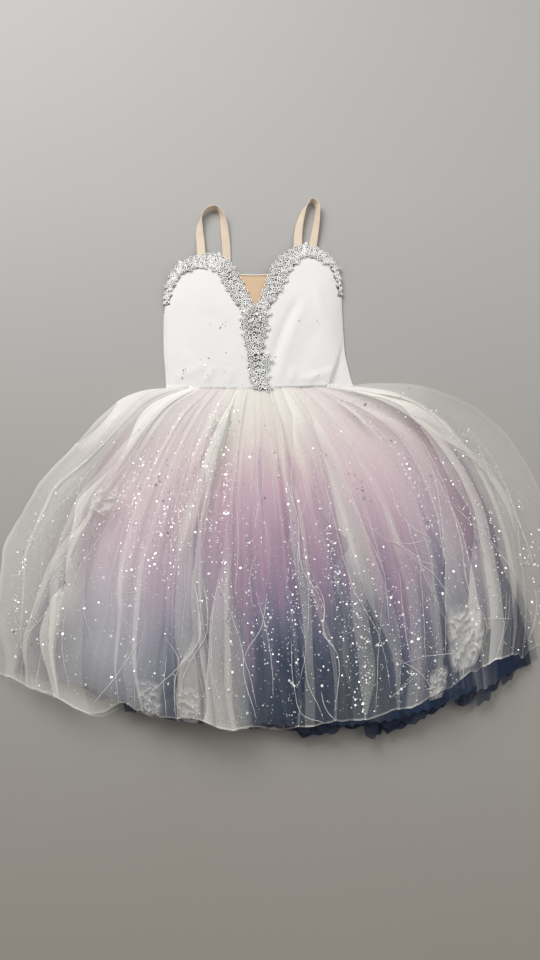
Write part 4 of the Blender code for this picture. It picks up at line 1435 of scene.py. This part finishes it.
    def _vertex(self, index: int, row: float) -> tuple[Vector, float, float]:
        """The point, gathering and across value of one vertex."""
        form, layer = self.form, Layer.OVERLAY
        front = len(self.columns)
        sides = self.side_steps - 1
        if index < front:
            across, rise, gather = self._front(self.columns[index], row)
            kind, amount = "front", 0.0
        elif index < front + sides:
            across, rise, gather = 1.0, 0.0, 0.25
            kind, amount = "side", (index - front + 1) / self.side_steps
        elif index < front + sides + self.back_columns + 1:
            across = 1 - 2 * (index - front - sides) / self.back_columns
            rise, gather, kind, amount = 0.0, 0.0, "back", 0.0
        else:
            across, rise, gather = -1.0, 0.0, 0.25
            kind, amount = "side", 1 - (index - front - sides - self.back_columns) / self.side_steps
        wave = math.sin(2 * math.pi * 22 * across / 2 + 1.3 * math.sin(5 * row)) if kind == "front" else 0.0
        ragged = noise.noise(Vector((across * 8, 3.0, 1.0))) * 0.010
        ragged += abs(noise.noise(Vector((across * 21, 9.0, 2.0)))) * 0.008 - 0.003
        down = row if row < 0 else row * (1 + (form.hem[layer](across) + ragged) / form.length)
        point = form.plan(across, down)
        bulge = noise.noise(Vector((across * 2 + 5, down * 6, 4.0))) + 0.6 * noise.noise(
            Vector((across * 2, down * 15, 8.0)))
        point.x += 0.0060 * bulge * across**5 * smooth_step(0.0, 0.15, down)
        heading = (1 - smooth_step(-0.010, 0.004, row)) * (0.5 + noise.noise(Vector((across * 60, 0.0, 5.0))))
        gather += 0.80 * (1 - smooth_step(-0.04, 0.34, row)) + (0.35 if row >= 1.0 else 0.0) + 0.2 * heading
        gather += 0.16 * smooth_step(0.20, 0.50, -across) * smooth_step(0.04, 0.2, row)
        gather += 0.06 * smooth_step(0.25, 0.5, across) * smooth_step(0.04, 0.2, row) * (1 - smooth_step(0.5, 0.7, row))
        gather += 0.16 * smooth_step(0.35, 0.60, -across) * (1 - smooth_step(0.12, 0.36, row))
        gather += 0.10 * smooth_step(0.80, 0.92, abs(across)) * (1 - smooth_step(0.75, 0.9, row))
        gather += self.haze(across) * smooth_step(0.48, 0.66, row)
        if kind == "back":
            return Vector((point.x, point.y, layer.value)), gather, across
        if kind == "side":
            outward = (point - form.plan(across * 0.98, down)).normalized()
            angle = math.pi * amount
            point += outward * form.fold[layer] / 2 * math.sin(angle)
            height = layer.value + form.fold[layer] * (1 + math.cos(angle)) / 2
            return Vector((point.x, point.y, height)), gather, across
        rounding = form.rounding(across)
        depth = form.pleat[layer](min(down, 1.0)) * rounding
        ripple = 0.45 * wave + 0.30 * math.sin(2 * math.pi * 39 * across / 2 + 4 * row)
        ripple += 0.5 * noise.noise(Vector((across * 9, row * 5, 2.0)))
        fine = 0.0006 * math.sin(150 * across + 3 * math.sin(6 * row)) * rounding * smooth_step(0.0, 0.1, row)
        height = form.front_height(layer, across, down) + depth * ripple + rise + fine
        if row < 0:
            over_bodice = BODICE.plain_height(point.x, max(point.y, 0.0760)) + 0.0014
            height = min(height, over_bodice - row * 0.05)
        gather += 0.10 * max(0.0, noise.noise(Vector((across * 26, row * 3.5, 7.0))))
        return Vector((point.x, point.y, height)), gather, across


@dataclass(frozen=True)
class CreaseLine:
    """A sharp crease of the sheer layer: rows of how far across and down it runs, and its half width."""

    rows: tuple[tuple[float, float], ...]
    radius: float


CREASE_LINES = (
    CreaseLine(((-.26, .14), (-.31, .35), (-.34, .56)), 0.00042),
    CreaseLine(((-.28, .61), (-.26, .76), (-.35, .88), (-.36, .98)), 0.00065),
    CreaseLine(((-.25, .60), (-.235, .74), (-.32, .87), (-.33, .97)), 0.00050),
    CreaseLine(((-.19, .61), (-.12, .78), (-.11, .88), (-.08, .97)), 0.00055),
    CreaseLine(((-.02, .64), (-.05, .73), (-.11, .81), (-.10, .84), (-.08, .94)), 0.00045),
    CreaseLine(((-.19, .57), (-.22, .77), (-.22, .99)), 0.00040),
    CreaseLine(((.11, .19), (.10, .35), (.12, .45), (.11, .58), (.17, .70), (.16, .75), (.20, .82), (.19, .96)),
               0.00055),
    CreaseLine(((.17, .21), (.12, .33), (.12, .47), (.10, .60), (.13, .66)), 0.00040),
    CreaseLine(((.13, .56), (.17, .67), (.17, .77), (.19, .80)), 0.00045),
    CreaseLine(((.28, .18), (.26, .53), (.28, .67), (.35, .80), (.38, .93)), 0.00034),
    CreaseLine(((.35, .37), (.35, .49), (.39, .63)), 0.00045),
    CreaseLine(((.52, .31), (.51, .38), (.50, .51), (.59, .63)), 0.00050),
    CreaseLine(((.68, .40), (.65, .49), (.62, .60), (.59, .68)), 0.00050),
    CreaseLine(((.66, .45), (.68, .59), (.68, .71)), 0.00045),
    CreaseLine(((.68, .53), (.74, .63), (.85, .79)), 0.00050),
    CreaseLine(((.75, .36), (.82, .45), (.87, .58), (.90, .72)), 0.00055),
    CreaseLine(((.84, .44), (.89, .55), (.89, .64), (.92, .79)), 0.00045),
    CreaseLine(((.64, .32), (.61, .61), (.58, .80), (.57, .90)), 0.00045),
    CreaseLine(((.71, .30), (.67, .63), (.68, .79), (.72, .85), (.71, .92)), 0.00055),
    CreaseLine(((.43, .56), (.50, .62), (.57, .68)), 0.00055),
    CreaseLine(((.44, .64), (.44, .81), (.45, .88)), 0.00035),
    CreaseLine(((.51, .64), (.57, .71), (.60, .77)), 0.00040),
    CreaseLine(((.36, .50), (.46, .58), (.56, .60)), 0.00040),
    CreaseLine(((.38, .96), (.47, .92)), 0.00035),
    CreaseLine(((.39, .86), (.46, .90), (.55, .98)), 0.00040),
    CreaseLine(((.14, .91), (.16, .96), (.20, 1.0)), 0.00045),
    CreaseLine(((.05, .76), (.05, .88), (.07, .96), (.17, 1.0)), 0.00040),
    CreaseLine(((.69, .84), (.82, .88)), 0.00038),
    CreaseLine(((.40, .88), (.50, .88), (.62, .90)), 0.00032),
    CreaseLine(((-.76, .65), (-.82, .75), (-.86, .84), (-.87, .89)), 0.00060),
    CreaseLine(((-.78, .76), (-.84, .85), (-.90, .90), (-.96, .96)), 0.00050),
    CreaseLine(((-.84, .84), (-.89, .93), (-.92, 1.0)), 0.00045),
    CreaseLine(((-.78, .77), (-.81, .88), (-.86, 1.0)), 0.00045),
    CreaseLine(((-.46, .79), (-.55, .90), (-.65, .99)), 0.00055),
    CreaseLine(((-.31, .82), (-.40, .90), (-.47, .95)), 0.00050),
    CreaseLine(((-.59, .70), (-.51, .68), (-.44, .65)), 0.00040),
    CreaseLine(((-.83, .29), (-.84, .43), (-.88, .59), (-.89, .68)), 0.00050),
    CreaseLine(((-.81, .39), (-.80, .55), (-.80, .65)), 0.00040),
    CreaseLine(((-.61, .16), (-.58, .31), (-.53, .43), (-.52, .58)), 0.00045),
    CreaseLine(((-.24, .09), (-.33, .20), (-.30, .39), (-.24, .56)), 0.00040),
    CreaseLine(((-.02, .15), (-.01, .32), (-.06, .46)), 0.00035),
    CreaseLine(((-.43, .23), (-.45, .32), (-.38, .41), (-.34, .51)), 0.00040),
    CreaseLine(((-.88, .41), (-.88, .50), (-.91, .61), (-.93, .72)), 0.00045),
    CreaseLine(((-.62, .46), (-.70, .66), (-.74, .84), (-.73, .98)), 0.00040),
)


@dataclass
class OverlayCreases:
    """The sharp creases that catch the light on the overlay, and its crumpled bunches near the hem."""

    form: SkirtForm
    wild: int = 40
    bunches: tuple[tuple[float, float, float, int], ...] = (
        (0.645, 0.885, 0.027, 14), (-0.31, 0.955, 0.016, 4), (-0.44, 0.95, 0.016, 3), (0.55, 0.965, 0.013, 3),
        (-0.70, 0.45, 0.018, 3))

    def build(self, lay: Callable[[float, float, float], Vector | None]) -> None:
        """Lays the creases on the overlay.

        Args:
            lay: Gives the point on top of the overlay for a place across and down, and a height over it.
        """
        rng = random.Random(23)
        lines = [*CREASE_LINES, *self._wild(rng), *self._bunched(rng)]
        curve = bpy.data.curves.new("overlay_creases", "CURVE")
        curve.dimensions = "3D"
        curve.bevel_depth = 1.0
        curve.bevel_resolution = 0
        for index, line in enumerate(lines):
            self._add(curve, line, lay, index)
        holder = bpy.data.objects.new("overlay_creases_path", curve)
        bpy.context.scene.collection.objects.link(holder)
        depsgraph = bpy.context.evaluated_depsgraph_get()
        mesh = bpy.data.meshes.new_from_object(holder.evaluated_get(depsgraph))
        bpy.data.objects.remove(holder, do_unlink=True)
        mesh.shade_smooth()
        mesh.materials.clear()
        mesh.materials.append(CreaseFinish("glitter_tulle_crease").make())
        obj = bpy.data.objects.new("overlay_creases", mesh)
        bpy.context.scene.collection.objects.link(obj)
        attach(obj, "overlay_tulle")
        for index, (across, down, size, _) in enumerate(self.bunches):
            self._crumple(f"overlay_bunch_{index + 1}", across, down, size, lay)

    def _crumple(self, name: str, across: float, down: float, size: float,
                 lay: Callable[[float, float, float], Vector | None]) -> None:
        """One crumpled bunch of the layer, pushed together on top of it.

        Args:
            name: The piece's name.
            across: Where its middle lies across.
            down: Where its middle lies down.
            size: Half of its width.
            lay: Gives the point on top of the overlay.
        """
        half = self.form.half_width(down)

        def ridge(u: float, v: float) -> float:
            bend = Vector((u * 3.2 + across * 9, v * 4.2, down * 5))
            return 1 - abs(noise.noise(bend)) * 2.6 + 0.6 * (0.5 - abs(noise.noise(bend * 2.3)) * 2.6)

        def place(u: float, v: float) -> Vector:
            narrow = 0.35 + 0.65 * math.sin(math.pi * min(0.15 + v * 0.75, 1.0))
            x = (2 * u - 1) * narrow * size * (1 + 0.25 * noise.noise(Vector((u * 2, v * 3, across * 20))))
            y = (v - 0.62) * 2.9 * size
            point = lay(across + x / half, min(down + y / self.form.length, 0.992), 0.0003)
            rim = smooth_step(0.0, 0.22, u) * smooth_step(0.0, 0.22, 1 - u) * smooth_step(0.0, 0.15, v)
            rim *= smooth_step(0.0, 0.1, 1 - v)
            if point is None:
                plan = self.form.plan(across + x / half, min(down + y / self.form.length, 0.992))
                point = Vector((plan.x, plan.y, 0.03))
            return point + Vector((0, 0, 0.0004 + max(ridge(u, v), 0.0) * 0.0058 * rim))

        bm = sheet_mesh(name, place, 44, 60)
        gather = bm.verts.layers.float.new("gather")
        u_layer, v_layer = bm.verts.layers.float["u"], bm.verts.layers.float["v"]
        for vertex in bm.verts:
            u, v = vertex[u_layer], vertex[v_layer]
            inner = smooth_step(0.0, 0.16, min(u, 1 - u)) * smooth_step(0.0, 0.30, v) * smooth_step(0.0, 0.06, 1 - v)
            vertex[gather] = -0.11 + (1.10 + 2.4 * max(ridge(u, v) - 0.8, 0.0)) * inner
        bunch = make_object(name, bm, bpy.data.materials["glitter_tulle"])
        attach(bunch, "overlay_tulle")

    def _add(self, curve: bpy.types.Curve, line: CreaseLine, lay: Callable[[float, float, float], Vector | None],
             index: int) -> None:
        """Adds one crease to the curve as a tapered line that wanders a little."""
        ends = np.array([self.form.plan(*row) for row in line.rows])
        runs = np.concatenate([[0.0], np.cumsum(np.hypot(*np.diff(ends, axis=0).T))])
        across = SmoothCurve(runs, [row[0] for row in line.rows], rounded=True)
        down = SmoothCurve(runs, [row[1] for row in line.rows], rounded=True)
        steps = max(6, int(runs[-1] / 0.004))
        points = []
        for i in range(steps + 1):
            run = runs[-1] * i / steps
            wander = 0.0016 * noise.noise(Vector((run * 38, index * 3.7, 0.0)))
            wander += 0.0005 * noise.noise(Vector((run * 150, index * 5.1, 4.0)))
            place = lay(across(run) + wander / self.form.half_width(down(run)), down(run), line.radius * 0.5)
            if place is not None:
                taper = min(1.0, 5 * i / steps + 0.25, 5 * (1 - i / steps) + 0.25)
                swell = 1 + 0.5 * noise.noise(Vector((run * 45, index * 2.3, 9.0)))
                points.append((place, line.radius * taper * swell))
        if len(points) < 4:
            return
        spline = curve.splines.new("POLY")
        spline.points.add(len(points) - 1)
        for point, (place, radius) in zip(spline.points, points):
            point.co = (*place, 1.0)
            point.radius = radius

    def _wild(self, rng: random.Random) -> Iterable[CreaseLine]:
        """The many small creases that run down the layer between the ones that the photo names."""
        for _ in range(self.wild):
            across, start = rng.uniform(-0.95, 0.95), rng.uniform(0.10, 0.85)
            length = min(rng.uniform(0.06, 0.45), 0.985 - start)
            lean = rng.uniform(-0.07, 0.07)
            bend = rng.uniform(-0.025, 0.025)
            yield CreaseLine(((across, start), (across + lean * 0.5 + bend, start + length / 2),
                              (across + lean, start + length)), rng.uniform(0.00018, 0.00042))

    def _bunched(self, rng: random.Random) -> Iterable[CreaseLine]:
        """Short creases that run together in a crumpled bunch."""
        for across, down, size, count in self.bunches:
            half = self.form.half_width(down)
            for _ in range(count):
                angle, reach = rng.uniform(0, 2 * math.pi), size * rng.uniform(0.4, 1.1)
                bow = rng.uniform(-0.4, 0.4)
                start = (across + rng.gauss(0, size * 0.15) / half, down + rng.gauss(0, size * 0.15) / 0.47)
                way = Vector((math.cos(angle), math.sin(angle)))
                middle, end = way + way.orthogonal() * bow, way * 2
                rows = (start, *((start[0] + p.x * reach / 2 / half, min(start[1] + p.y * reach / 2 / 0.47, 0.995))
                                 for p in (middle, end)))
                yield CreaseLine(rows, rng.uniform(0.00022, 0.00050))


@dataclass
class TulleLayer:
    """A gathered tube of plain tulle, with fine pleats over its front and a flat back."""

    form: SkirtForm
    name: str
    layer: Layer
    drop: float = 0.0  # how far its front lies under the outermost sheet of its kind
    reach: float = 1.0
    pleats: int = 54
    fine: float = 0.0010
    shorter: float = 0.0
    corners: tuple[tuple[float, float, float], ...] = ()  # across, depth and half width of each cut corner
    columns: int = 300
    rows: int = 44
    back_columns: int = 40
    seed: int = 1

    def build(self, look: bpy.types.Material, slot: str, flat: tuple[float, float], *nodes: str) -> None:
        """Builds and dresses the layer.

        Args:
            look: Its finish.
            slot: The record's material slot.
            flat: Not used.
            nodes: The solids that it stands for.
        """
        rng = random.Random(self.seed)
        self.phases = [rng.uniform(0, 6.28) for _ in range(6)]
        sides = 3
        total = self.columns + 2 * sides + self.back_columns
        bm = bmesh.new()
        bmesh.ops.create_grid(bm, x_segments=total, y_segments=self.rows, size=0.5)
        layers = {n: bm.verts.layers.float.new(n) for n in ("across", "down")}
        for vertex in bm.verts:
            i = round((vertex.co.x + 0.5) * total) % total
            row = ((vertex.co.y + 0.5)) ** 1.1
            vertex.co, vertex[layers["across"]] = self._vertex(i, row, sides)
            dyed = self.form.dye(vertex[layers["across"]]) * smooth_step(0.15, 0.45, row)
            vertex[layers["down"]] = min(row + dyed, 1.0)
        bmesh.ops.remove_doubles(bm, verts=bm.verts, dist=0.000001)
        bmesh.ops.recalc_face_normals(bm, faces=bm.faces)
        obj = make_object(self.name, bm, look)
        attach(obj, slot, *nodes)

    def _corner(self, across: float) -> float:
        """How far the hem's cut corners reach at a place across, in metres."""
        reach = 0.0
        for place, depth, width in self.corners:
            near = 1 - abs(across - place) / width
            if near > 0:
                reach = max(reach, depth * min(1.0, near * 3.0))
        return reach

    def _vertex(self, index: int, row: float, sides: int) -> tuple[Vector, float]:
        """The point and across value of one vertex."""
        form, layer = self.form, self.layer
        fold = form.fold[layer]
        if index <= self.columns:
            share, kind, amount = 2 * index / self.columns - 1, "front", 0.0
        elif index < self.columns + sides:
            share, kind, amount = 1.0, "side", (index - self.columns) / sides
        elif index <= self.columns + sides + self.back_columns:
            share, kind, amount = 1 - 2 * (index - self.columns - sides) / self.back_columns, "back", 0.0
        else:
            step = index - self.columns - sides - self.back_columns
            share, kind, amount = -1.0, "side", 1 - step / sides
        wave = math.sin(math.pi * self.pleats * share + self.phases[0] + 1.5 * math.sin(3 * row + self.phases[1]))
        longer = form.hem[layer](share) - self.shorter + 0.0014 * wave
        longer += 0.0060 * noise.noise(Vector((share * 9, self.phases[5], 3.0)))
        if self.corners and kind == "front":
            longer += self._corner(share)
        down = row * (1 + longer / form.length) - 0.004 * (1 - smooth_step(0.0, 0.05, row))
        across = share * form.reach[layer](min(down, 1.0)) * self.reach
        if kind == "front":
            across += 0.006 * math.sin(4.2 * row + 9 * share + self.phases[2]) * row * (1 - share**2)
        point = form.plan(across, down)
        back = layer.value + self.drop * 0.05
        if kind == "back":
            return Vector((point.x, point.y, back)), share
        if kind == "side":
            outward = (point - form.plan(across * 0.98, down)).normalized()
            angle = math.pi * amount
            point += outward * fold / 2 * math.sin(angle)
            return Vector((point.x, point.y, back + fold * (1 + math.cos(angle)) / 2)), share
        rounding = form.rounding(share)
        crest = form.crest[layer](min(down, 1.0)) - self.drop * smooth_step(0.0, 0.25, row)
        low = back + fold
        depth = form.pleat[layer](min(down, 1.0)) * rounding
        coarse = math.sin(math.pi * 18 * share + self.phases[3] + math.sin(4 * row))
        coarse = 0.45 * coarse + 0.4 * noise.noise(Vector((share * 12, row * 2.5, self.phases[4])))
        fine = self.fine * wave * smooth_step(0.02, 0.3, row) * rounding
        return Vector((point.x, point.y, low + (crest - low) * rounding + depth * coarse + fine)), share


class LaidOn:
    """The upper side of a finished piece, on which creases and sequins are laid."""

    def __init__(self, form: SkirtForm, piece: bpy.types.Object) -> None:
        """Reads the piece's faces."""
        self.form = form
        self.tree = BVHTree.FromPolygons([v.co.copy() for v in piece.data.vertices],
                                         [tuple(p.vertices) for p in piece.data.polygons])

    def hit(self, across: float, down: float) -> tuple[Vector, Vector] | None:
        """The uppermost point over a place of the fan, and the way it faces."""
        plan = self.form.plan(across, down)
        place, normal, _, _ = self.tree.ray_cast(Vector((plan.x, plan.y, 0.2)), Vector((0, 0, -1)))
        if place is None:
            return None
        return place, normal if normal.z > 0 else -normal

    def point(self, across: float, down: float, over: float) -> Vector | None:
        """The point a little over the surface, or nothing beside it."""
        found = self.hit(across, down)
        return None if found is None else found[0] + Vector((0, 0, over))


@dataclass
class Sequins:
    """Sequins strewn over the overlay in bands that run down the skirt, and a few on the bodice."""

    form: SkirtForm
    bands: int = 34
    sizes: tuple[tuple[int, float, float, float], ...] = (  # count, radii and spread across a band
        (220, 0.0012, 0.0017, 0.013), (1150, 0.0006, 0.0011, 0.016), (3300, 0.0003, 0.0006, 0.022))
    trails: tuple[tuple[float, float, float, float, int], ...] = (  # dark ones: from across and down, to, count
        (-0.62, 0.27, -0.66, 0.50, 34), (-0.49, 0.27, -0.50, 0.35, 12), (-0.23, 0.34, -0.24, 0.48, 18),
        (0.39, 0.38, 0.41, 0.46, 14), (-0.30, 0.10, -0.34, 0.16, 8), (0.06, 0.20, 0.07, 0.30, 10),
        (0.62, 0.10, 0.70, 0.20, 10))

    def build(self, surface: LaidOn) -> None:
        """Strews the sequins.

        Args:
            surface: The overlay's upper side.
        """
        rng = random.Random(97)
        look = SpangleFinish("sequin_foil").make()
        bands = [(-0.93 + 1.86 * (i + rng.uniform(0.2, 0.8)) / self.bands, rng.uniform(0.3, 0.9),
                  rng.uniform(0.08, 0.20), rng.uniform(0.3, 1.8)) for i in range(self.bands)]
        weights = [band[3] for band in bands]
        discs = []
        for count, least, most, spread in self.sizes:
            for _ in range(count):
                if rng.random() < 0.74:
                    across, middle, length, _ = rng.choices(bands, weights)[0]
                    across += rng.gauss(0, spread)
                    down = rng.gauss(middle, length)
                else:
                    across, down = rng.uniform(-0.97, 0.97), rng.uniform(0.05, 1.0) ** 0.8
                size = rng.uniform(least, most) * (0.72 + 0.38 * min(max(down, 0.0), 0.75) / 0.75)
                if not 0.04 < down < 0.985 or abs(across) > 0.98:
                    continue
                found = surface.hit(across, down)
                if found is None:
                    continue
                facing = found[1].lerp(Vector((0, 0, 1)), 0.5)
                facing += Vector((rng.gauss(0, 0.16), rng.gauss(0, 0.16), 0))
                # painted glint: most sequins painted bright as catching the light, the rest painted dark as mirroring
                # shade, more of those near the waist
                bright = 0.88 if down > 0.4 else 0.70  # on the pale cloth near the waist many look dark
                painted_glint = rng.uniform(0.85, 1.0) if rng.random() < bright else rng.uniform(0.0, 0.4)
                discs.append(Disc(found[0] + facing.normalized() * 0.0005, facing, size, painted_glint))
        for first, top, last, bottom, count in self.trails:
            for _ in range(count):
                share = rng.random()
                found = surface.hit(first + (last - first) * share + rng.gauss(0, 0.012),
                                    top + (bottom - top) * share + rng.gauss(0, 0.01))
                if found is not None:
                    # the trails' sequins have a dim painted glint: painted dark as mirroring shade
                    discs.append(Disc(found[0] + Vector((0, 0, 0.0005)), found[1].lerp(Vector((0, 0, 1)), 0.5),
                                      rng.uniform(0.0007, 0.0013), rng.uniform(0.0, 0.25)))
        attach(disc_mesh("skirt_sequins", discs, 7, look), "overlay_tulle")
        self._on_bodice(look, rng)

    @staticmethod
    def _on_bodice(look: bpy.types.Material, rng: random.Random) -> None:
        """The few stray sequins on the bodice: near the cups, and along the waist."""
        discs = []
        for x, y, spread, count in ((-0.080, 0.174, 0.012, 7), (-0.120, 0.098, 0.014, 7), (0.060, 0.180, 0.010, 3),
                                    (0.074, 0.086, 0.008, 4), (-0.020, 0.084, 0.050, 10), (-0.06, 0.13, 0.03, 4)):
            for _ in range(count):
                px, py = x + rng.gauss(0, spread), max(y + rng.gauss(0, spread * 0.4), 0.080)
                if abs(BODICE.across_at(px, py)) > 0.95:
                    continue
                facing = Vector((rng.gauss(0, 0.2), rng.gauss(0, 0.2), 1.0))
                # painted glint: mostly dark, as mirroring shade, a few bright
                discs.append(Disc(BODICE.off(px, py, 0.0011), facing, rng.uniform(0.0006, 0.0012),
                                  rng.choice((0.0, 0.1, 0.2, 0.9))))
        attach(disc_mesh("bodice_sequins", discs, 7, look), "lace")


class Skirt:
    """The whole skirt, from its dark underlayer out to the sequins."""

    DYE = (
        (0.00, (0.95, 0.92, 0.86)), (0.14, (0.93, 0.83, 0.81)), (0.28, (0.78, 0.58, 0.68)),
        (0.45, (0.58, 0.40, 0.53)), (0.58, (0.43, 0.315, 0.46)), (0.68, (0.18, 0.185, 0.31)),
        (0.78, (0.028, 0.060, 0.132)), (1.00, (0.012, 0.030, 0.066)))
    NAVY = ((0.0, (0.84, 0.80, 0.76)), (0.2, (0.55, 0.42, 0.48)), (0.5, (0.16, 0.12, 0.19)),
            (0.7, (0.022, 0.034, 0.070)), (1.0, (0.009, 0.014, 0.034)))

    CORNERS = ((0.09, 0.006, 0.03), (0.19, 0.010, 0.05), (0.35, 0.019, 0.030), (0.42, 0.006, 0.04),
               (0.52, 0.008, 0.05), (0.80, 0.018, 0.04), (0.70, 0.008, 0.03), (-0.14, 0.007, 0.04),
               (-0.57, 0.012, 0.03), (-0.70, 0.006, 0.04), (0.90, 0.010, 0.03))
    INNER_CORNERS = ((0.14, 0.009, 0.08), (0.30, 0.007, 0.06), (0.375, 0.014, 0.03), (0.47, 0.012, 0.08),
                     (0.62, 0.009, 0.06), (0.75, 0.014, 0.05), (0.86, 0.010, 0.04), (-0.10, 0.006, 0.07),
                     (-0.52, 0.006, 0.04), (-0.35, 0.004, 0.05))

    def build(self) -> None:
        """Builds every layer."""
        outer = DyedTulleFinish("dyed_tulle_outer", self.DYE, 0.50, 0.14, 0.16, 0.5).make()
        inner = DyedTulleFinish("dyed_tulle_inner", self.DYE, 1.0, 0.55, 0.12, 0.0).make()
        navy = DyedTulleFinish("navy_tulle", self.NAVY, 0.88, 0.70, 0.05, 0.3, pale_left=0.1, painted_light_right=0.0,
                               strips=0.12, crests=0.12).make()
        lining = DyedTulleFinish("navy_tulle_inner", self.NAVY, 1.0, 0.90, 0.05, 0.0, pale_left=0.0,
                                 painted_light_right=0.0, strips=0.12, crests=0.10).make()
        TulleLayer(SKIRT, "dyed_tulle_first", Layer.DYED, 0.0, 1.0, 54, seed=3).build(
            outer, "dyed_tulle", (1.40, 0.46), "skirt_dyed")
        TulleLayer(SKIRT, "dyed_tulle_second", Layer.DYED, 0.0022, 0.955, 47, shorter=0.004, seed=5).build(
            outer, "dyed_tulle", (1.34, 0.45))
        TulleLayer(SKIRT, "dyed_tulle_third", Layer.DYED, 0.0046, 0.90, 41, shorter=0.008, seed=8).build(
            inner, "dyed_tulle", (1.28, 0.45))
        TulleLayer(SKIRT, "navy_tulle_first", Layer.UNDER, 0.0, 1.0, 38, 0.0012, 0.009, self.CORNERS, seed=13).build(
            navy, "under_tulle", (1.36, 0.47), "skirt_underlayer")
        TulleLayer(SKIRT, "navy_tulle_second", Layer.UNDER, 0.0045, 0.97, 31, 0.0012, 0.011, self.INNER_CORNERS,
                   seed=17).build(lining, "under_tulle", (1.32, 0.46))
        overlay = Overlay(SKIRT).build()
        surface = LaidOn(SKIRT, overlay)
        OverlayCreases(SKIRT).build(surface.point)
        Sequins(SKIRT).build(surface)


class Straps:
    """The two elastic straps."""

    LEFT = (
        (-0.1110, 0.2800, 0.0110, 1), (-0.1125, 0.2990, 0.0100, 1), (-0.1150, 0.3260, 0.0048, 8),
        (-0.1172, 0.3500, 0.0046, 34), (-0.1150, 0.3690, 0.0066, 74), (-0.1050, 0.3830, 0.0070, 90),
        (-0.0925, 0.3860, 0.0070, 92), (-0.0840, 0.3740, 0.0068, 118), (-0.0800, 0.3560, 0.0046, 150),
        (-0.0770, 0.3330, 0.0030, 172), (-0.0750, 0.3050, 0.00205, 180), (-0.0750, 0.2600, 0.00205, 180),
        (-0.0760, 0.2100, 0.00205, 180), (-0.0770, 0.1740, 0.00205, 180))
    RIGHT = (
        (0.0330, 0.2940, 0.0105, 0), (0.0335, 0.3180, 0.0090, 0), (0.0345, 0.3420, 0.0054, 16),
        (0.0390, 0.3680, 0.0060, 40), (0.0470, 0.3900, 0.0066, 66), (0.0560, 0.3997, 0.0070, 92),
        (0.0630, 0.3940, 0.0070, 116), (0.0640, 0.3740, 0.0064, 128), (0.0610, 0.3500, 0.0052, 142),
        (0.0565, 0.3220, 0.0034, 166), (0.0530, 0.2950, 0.00205, 180), (0.0500, 0.2500, 0.00205, 180),
        (0.0480, 0.2100, 0.00205, 180), (0.0470, 0.1740, 0.00205, 180))

    def build(self) -> None:
        """Builds both straps in one elastic."""
        elastic = ClothFinish("skin_elastic", (0.84, 0.71, 0.57), (0.76, 0.60, 0.45), 1100.0, 0.0002,
                              sheen=0.2, ribs=9.0).make()
        Strap("strap_left", self.LEFT, BODICE).build(elastic)
        Strap("strap_right", self.RIGHT, BODICE).build(elastic)


@dataclass
class Studio:
    """The floor, the lights and the camera of the photo."""

    aim: tuple[float, float, float] = (-0.009, -0.059, 0.0)
    distance: float = 1.14
    elevation: float = 70.0
    focal_px: float = 831.0
    long_side_px: float = 960.0
    sensor: float = 36.0

    def build(self) -> None:
        """Sets up the stage."""
        self._floor()
        self._lights()
        self._camera()

    def _floor(self) -> None:
        """A plain floor that reaches well past every view."""
        bm = bmesh.new()
        bmesh.ops.create_grid(bm, x_segments=30, y_segments=30, size=15.0)
        floor = make_object("floor", bm, floor_finish())

    def _lights(self) -> None:
        """A soft lamp beyond the straps on the left, a weak one from the right, and pale air all round."""
        lamps = (("window", (-0.85, 1.30, 1.55), 1.5, 38.0, (1.0, 0.985, 0.965)),
                 ("fill", (1.5, 0.2, 1.8), 1.6, 11.0, (0.99, 0.99, 1.0)))
        for name, place, size, power, colour in lamps:
            data = bpy.data.lights.new(name, "AREA")
            data.size, data.energy, data.color = size, power, colour
            lamp = bpy.data.objects.new(name, data)
            lamp.location = place
            lamp.rotation_mode = "QUATERNION"
            lamp.rotation_quaternion = (Vector(self.aim) - Vector(place)).to_track_quat("-Z", "Y")
            bpy.context.scene.collection.objects.link(lamp)
        world = bpy.data.worlds.new("studio_air")
        world.use_nodes = True
        world.node_tree.nodes["Background"].inputs["Color"].default_value = (1.0, 0.98, 0.96, 1.0)
        world.node_tree.nodes["Background"].inputs["Strength"].default_value = 0.33
        bpy.context.scene.world = world

    def _camera(self) -> None:
        """The photo's camera: above the hem, looking down at 70 degrees."""
        data = bpy.data.cameras.new("camera")
        data.sensor_width = self.sensor
        data.sensor_fit = "AUTO"
        data.lens = self.focal_px / self.long_side_px * self.sensor
        camera = bpy.data.objects.new("camera", data)
        tilt = math.radians(self.elevation)
        back = Vector((0.0, -math.cos(tilt), math.sin(tilt)))
        camera.location = Vector(self.aim) + back * self.distance
        camera.rotation_mode = "QUATERNION"
        camera.rotation_quaternion = (-back).to_track_quat("-Z", "Y")
        bpy.context.scene.collection.objects.link(camera)
        bpy.context.scene.camera = camera


def main() -> None:
    """Builds the stage and the dress."""
    logging.basicConfig(level=logging.INFO, format="%(message)s")
    scene = bpy.context.scene
    scene.view_settings.view_transform = "Standard"
    scene.cycles.transparent_max_bounces = 20
    Studio().build()
    Bodice(BODICE).build()
    Lace(BODICE).build()
    Straps().build()
    Skirt().build()


if __name__ == "__main__":
    main()
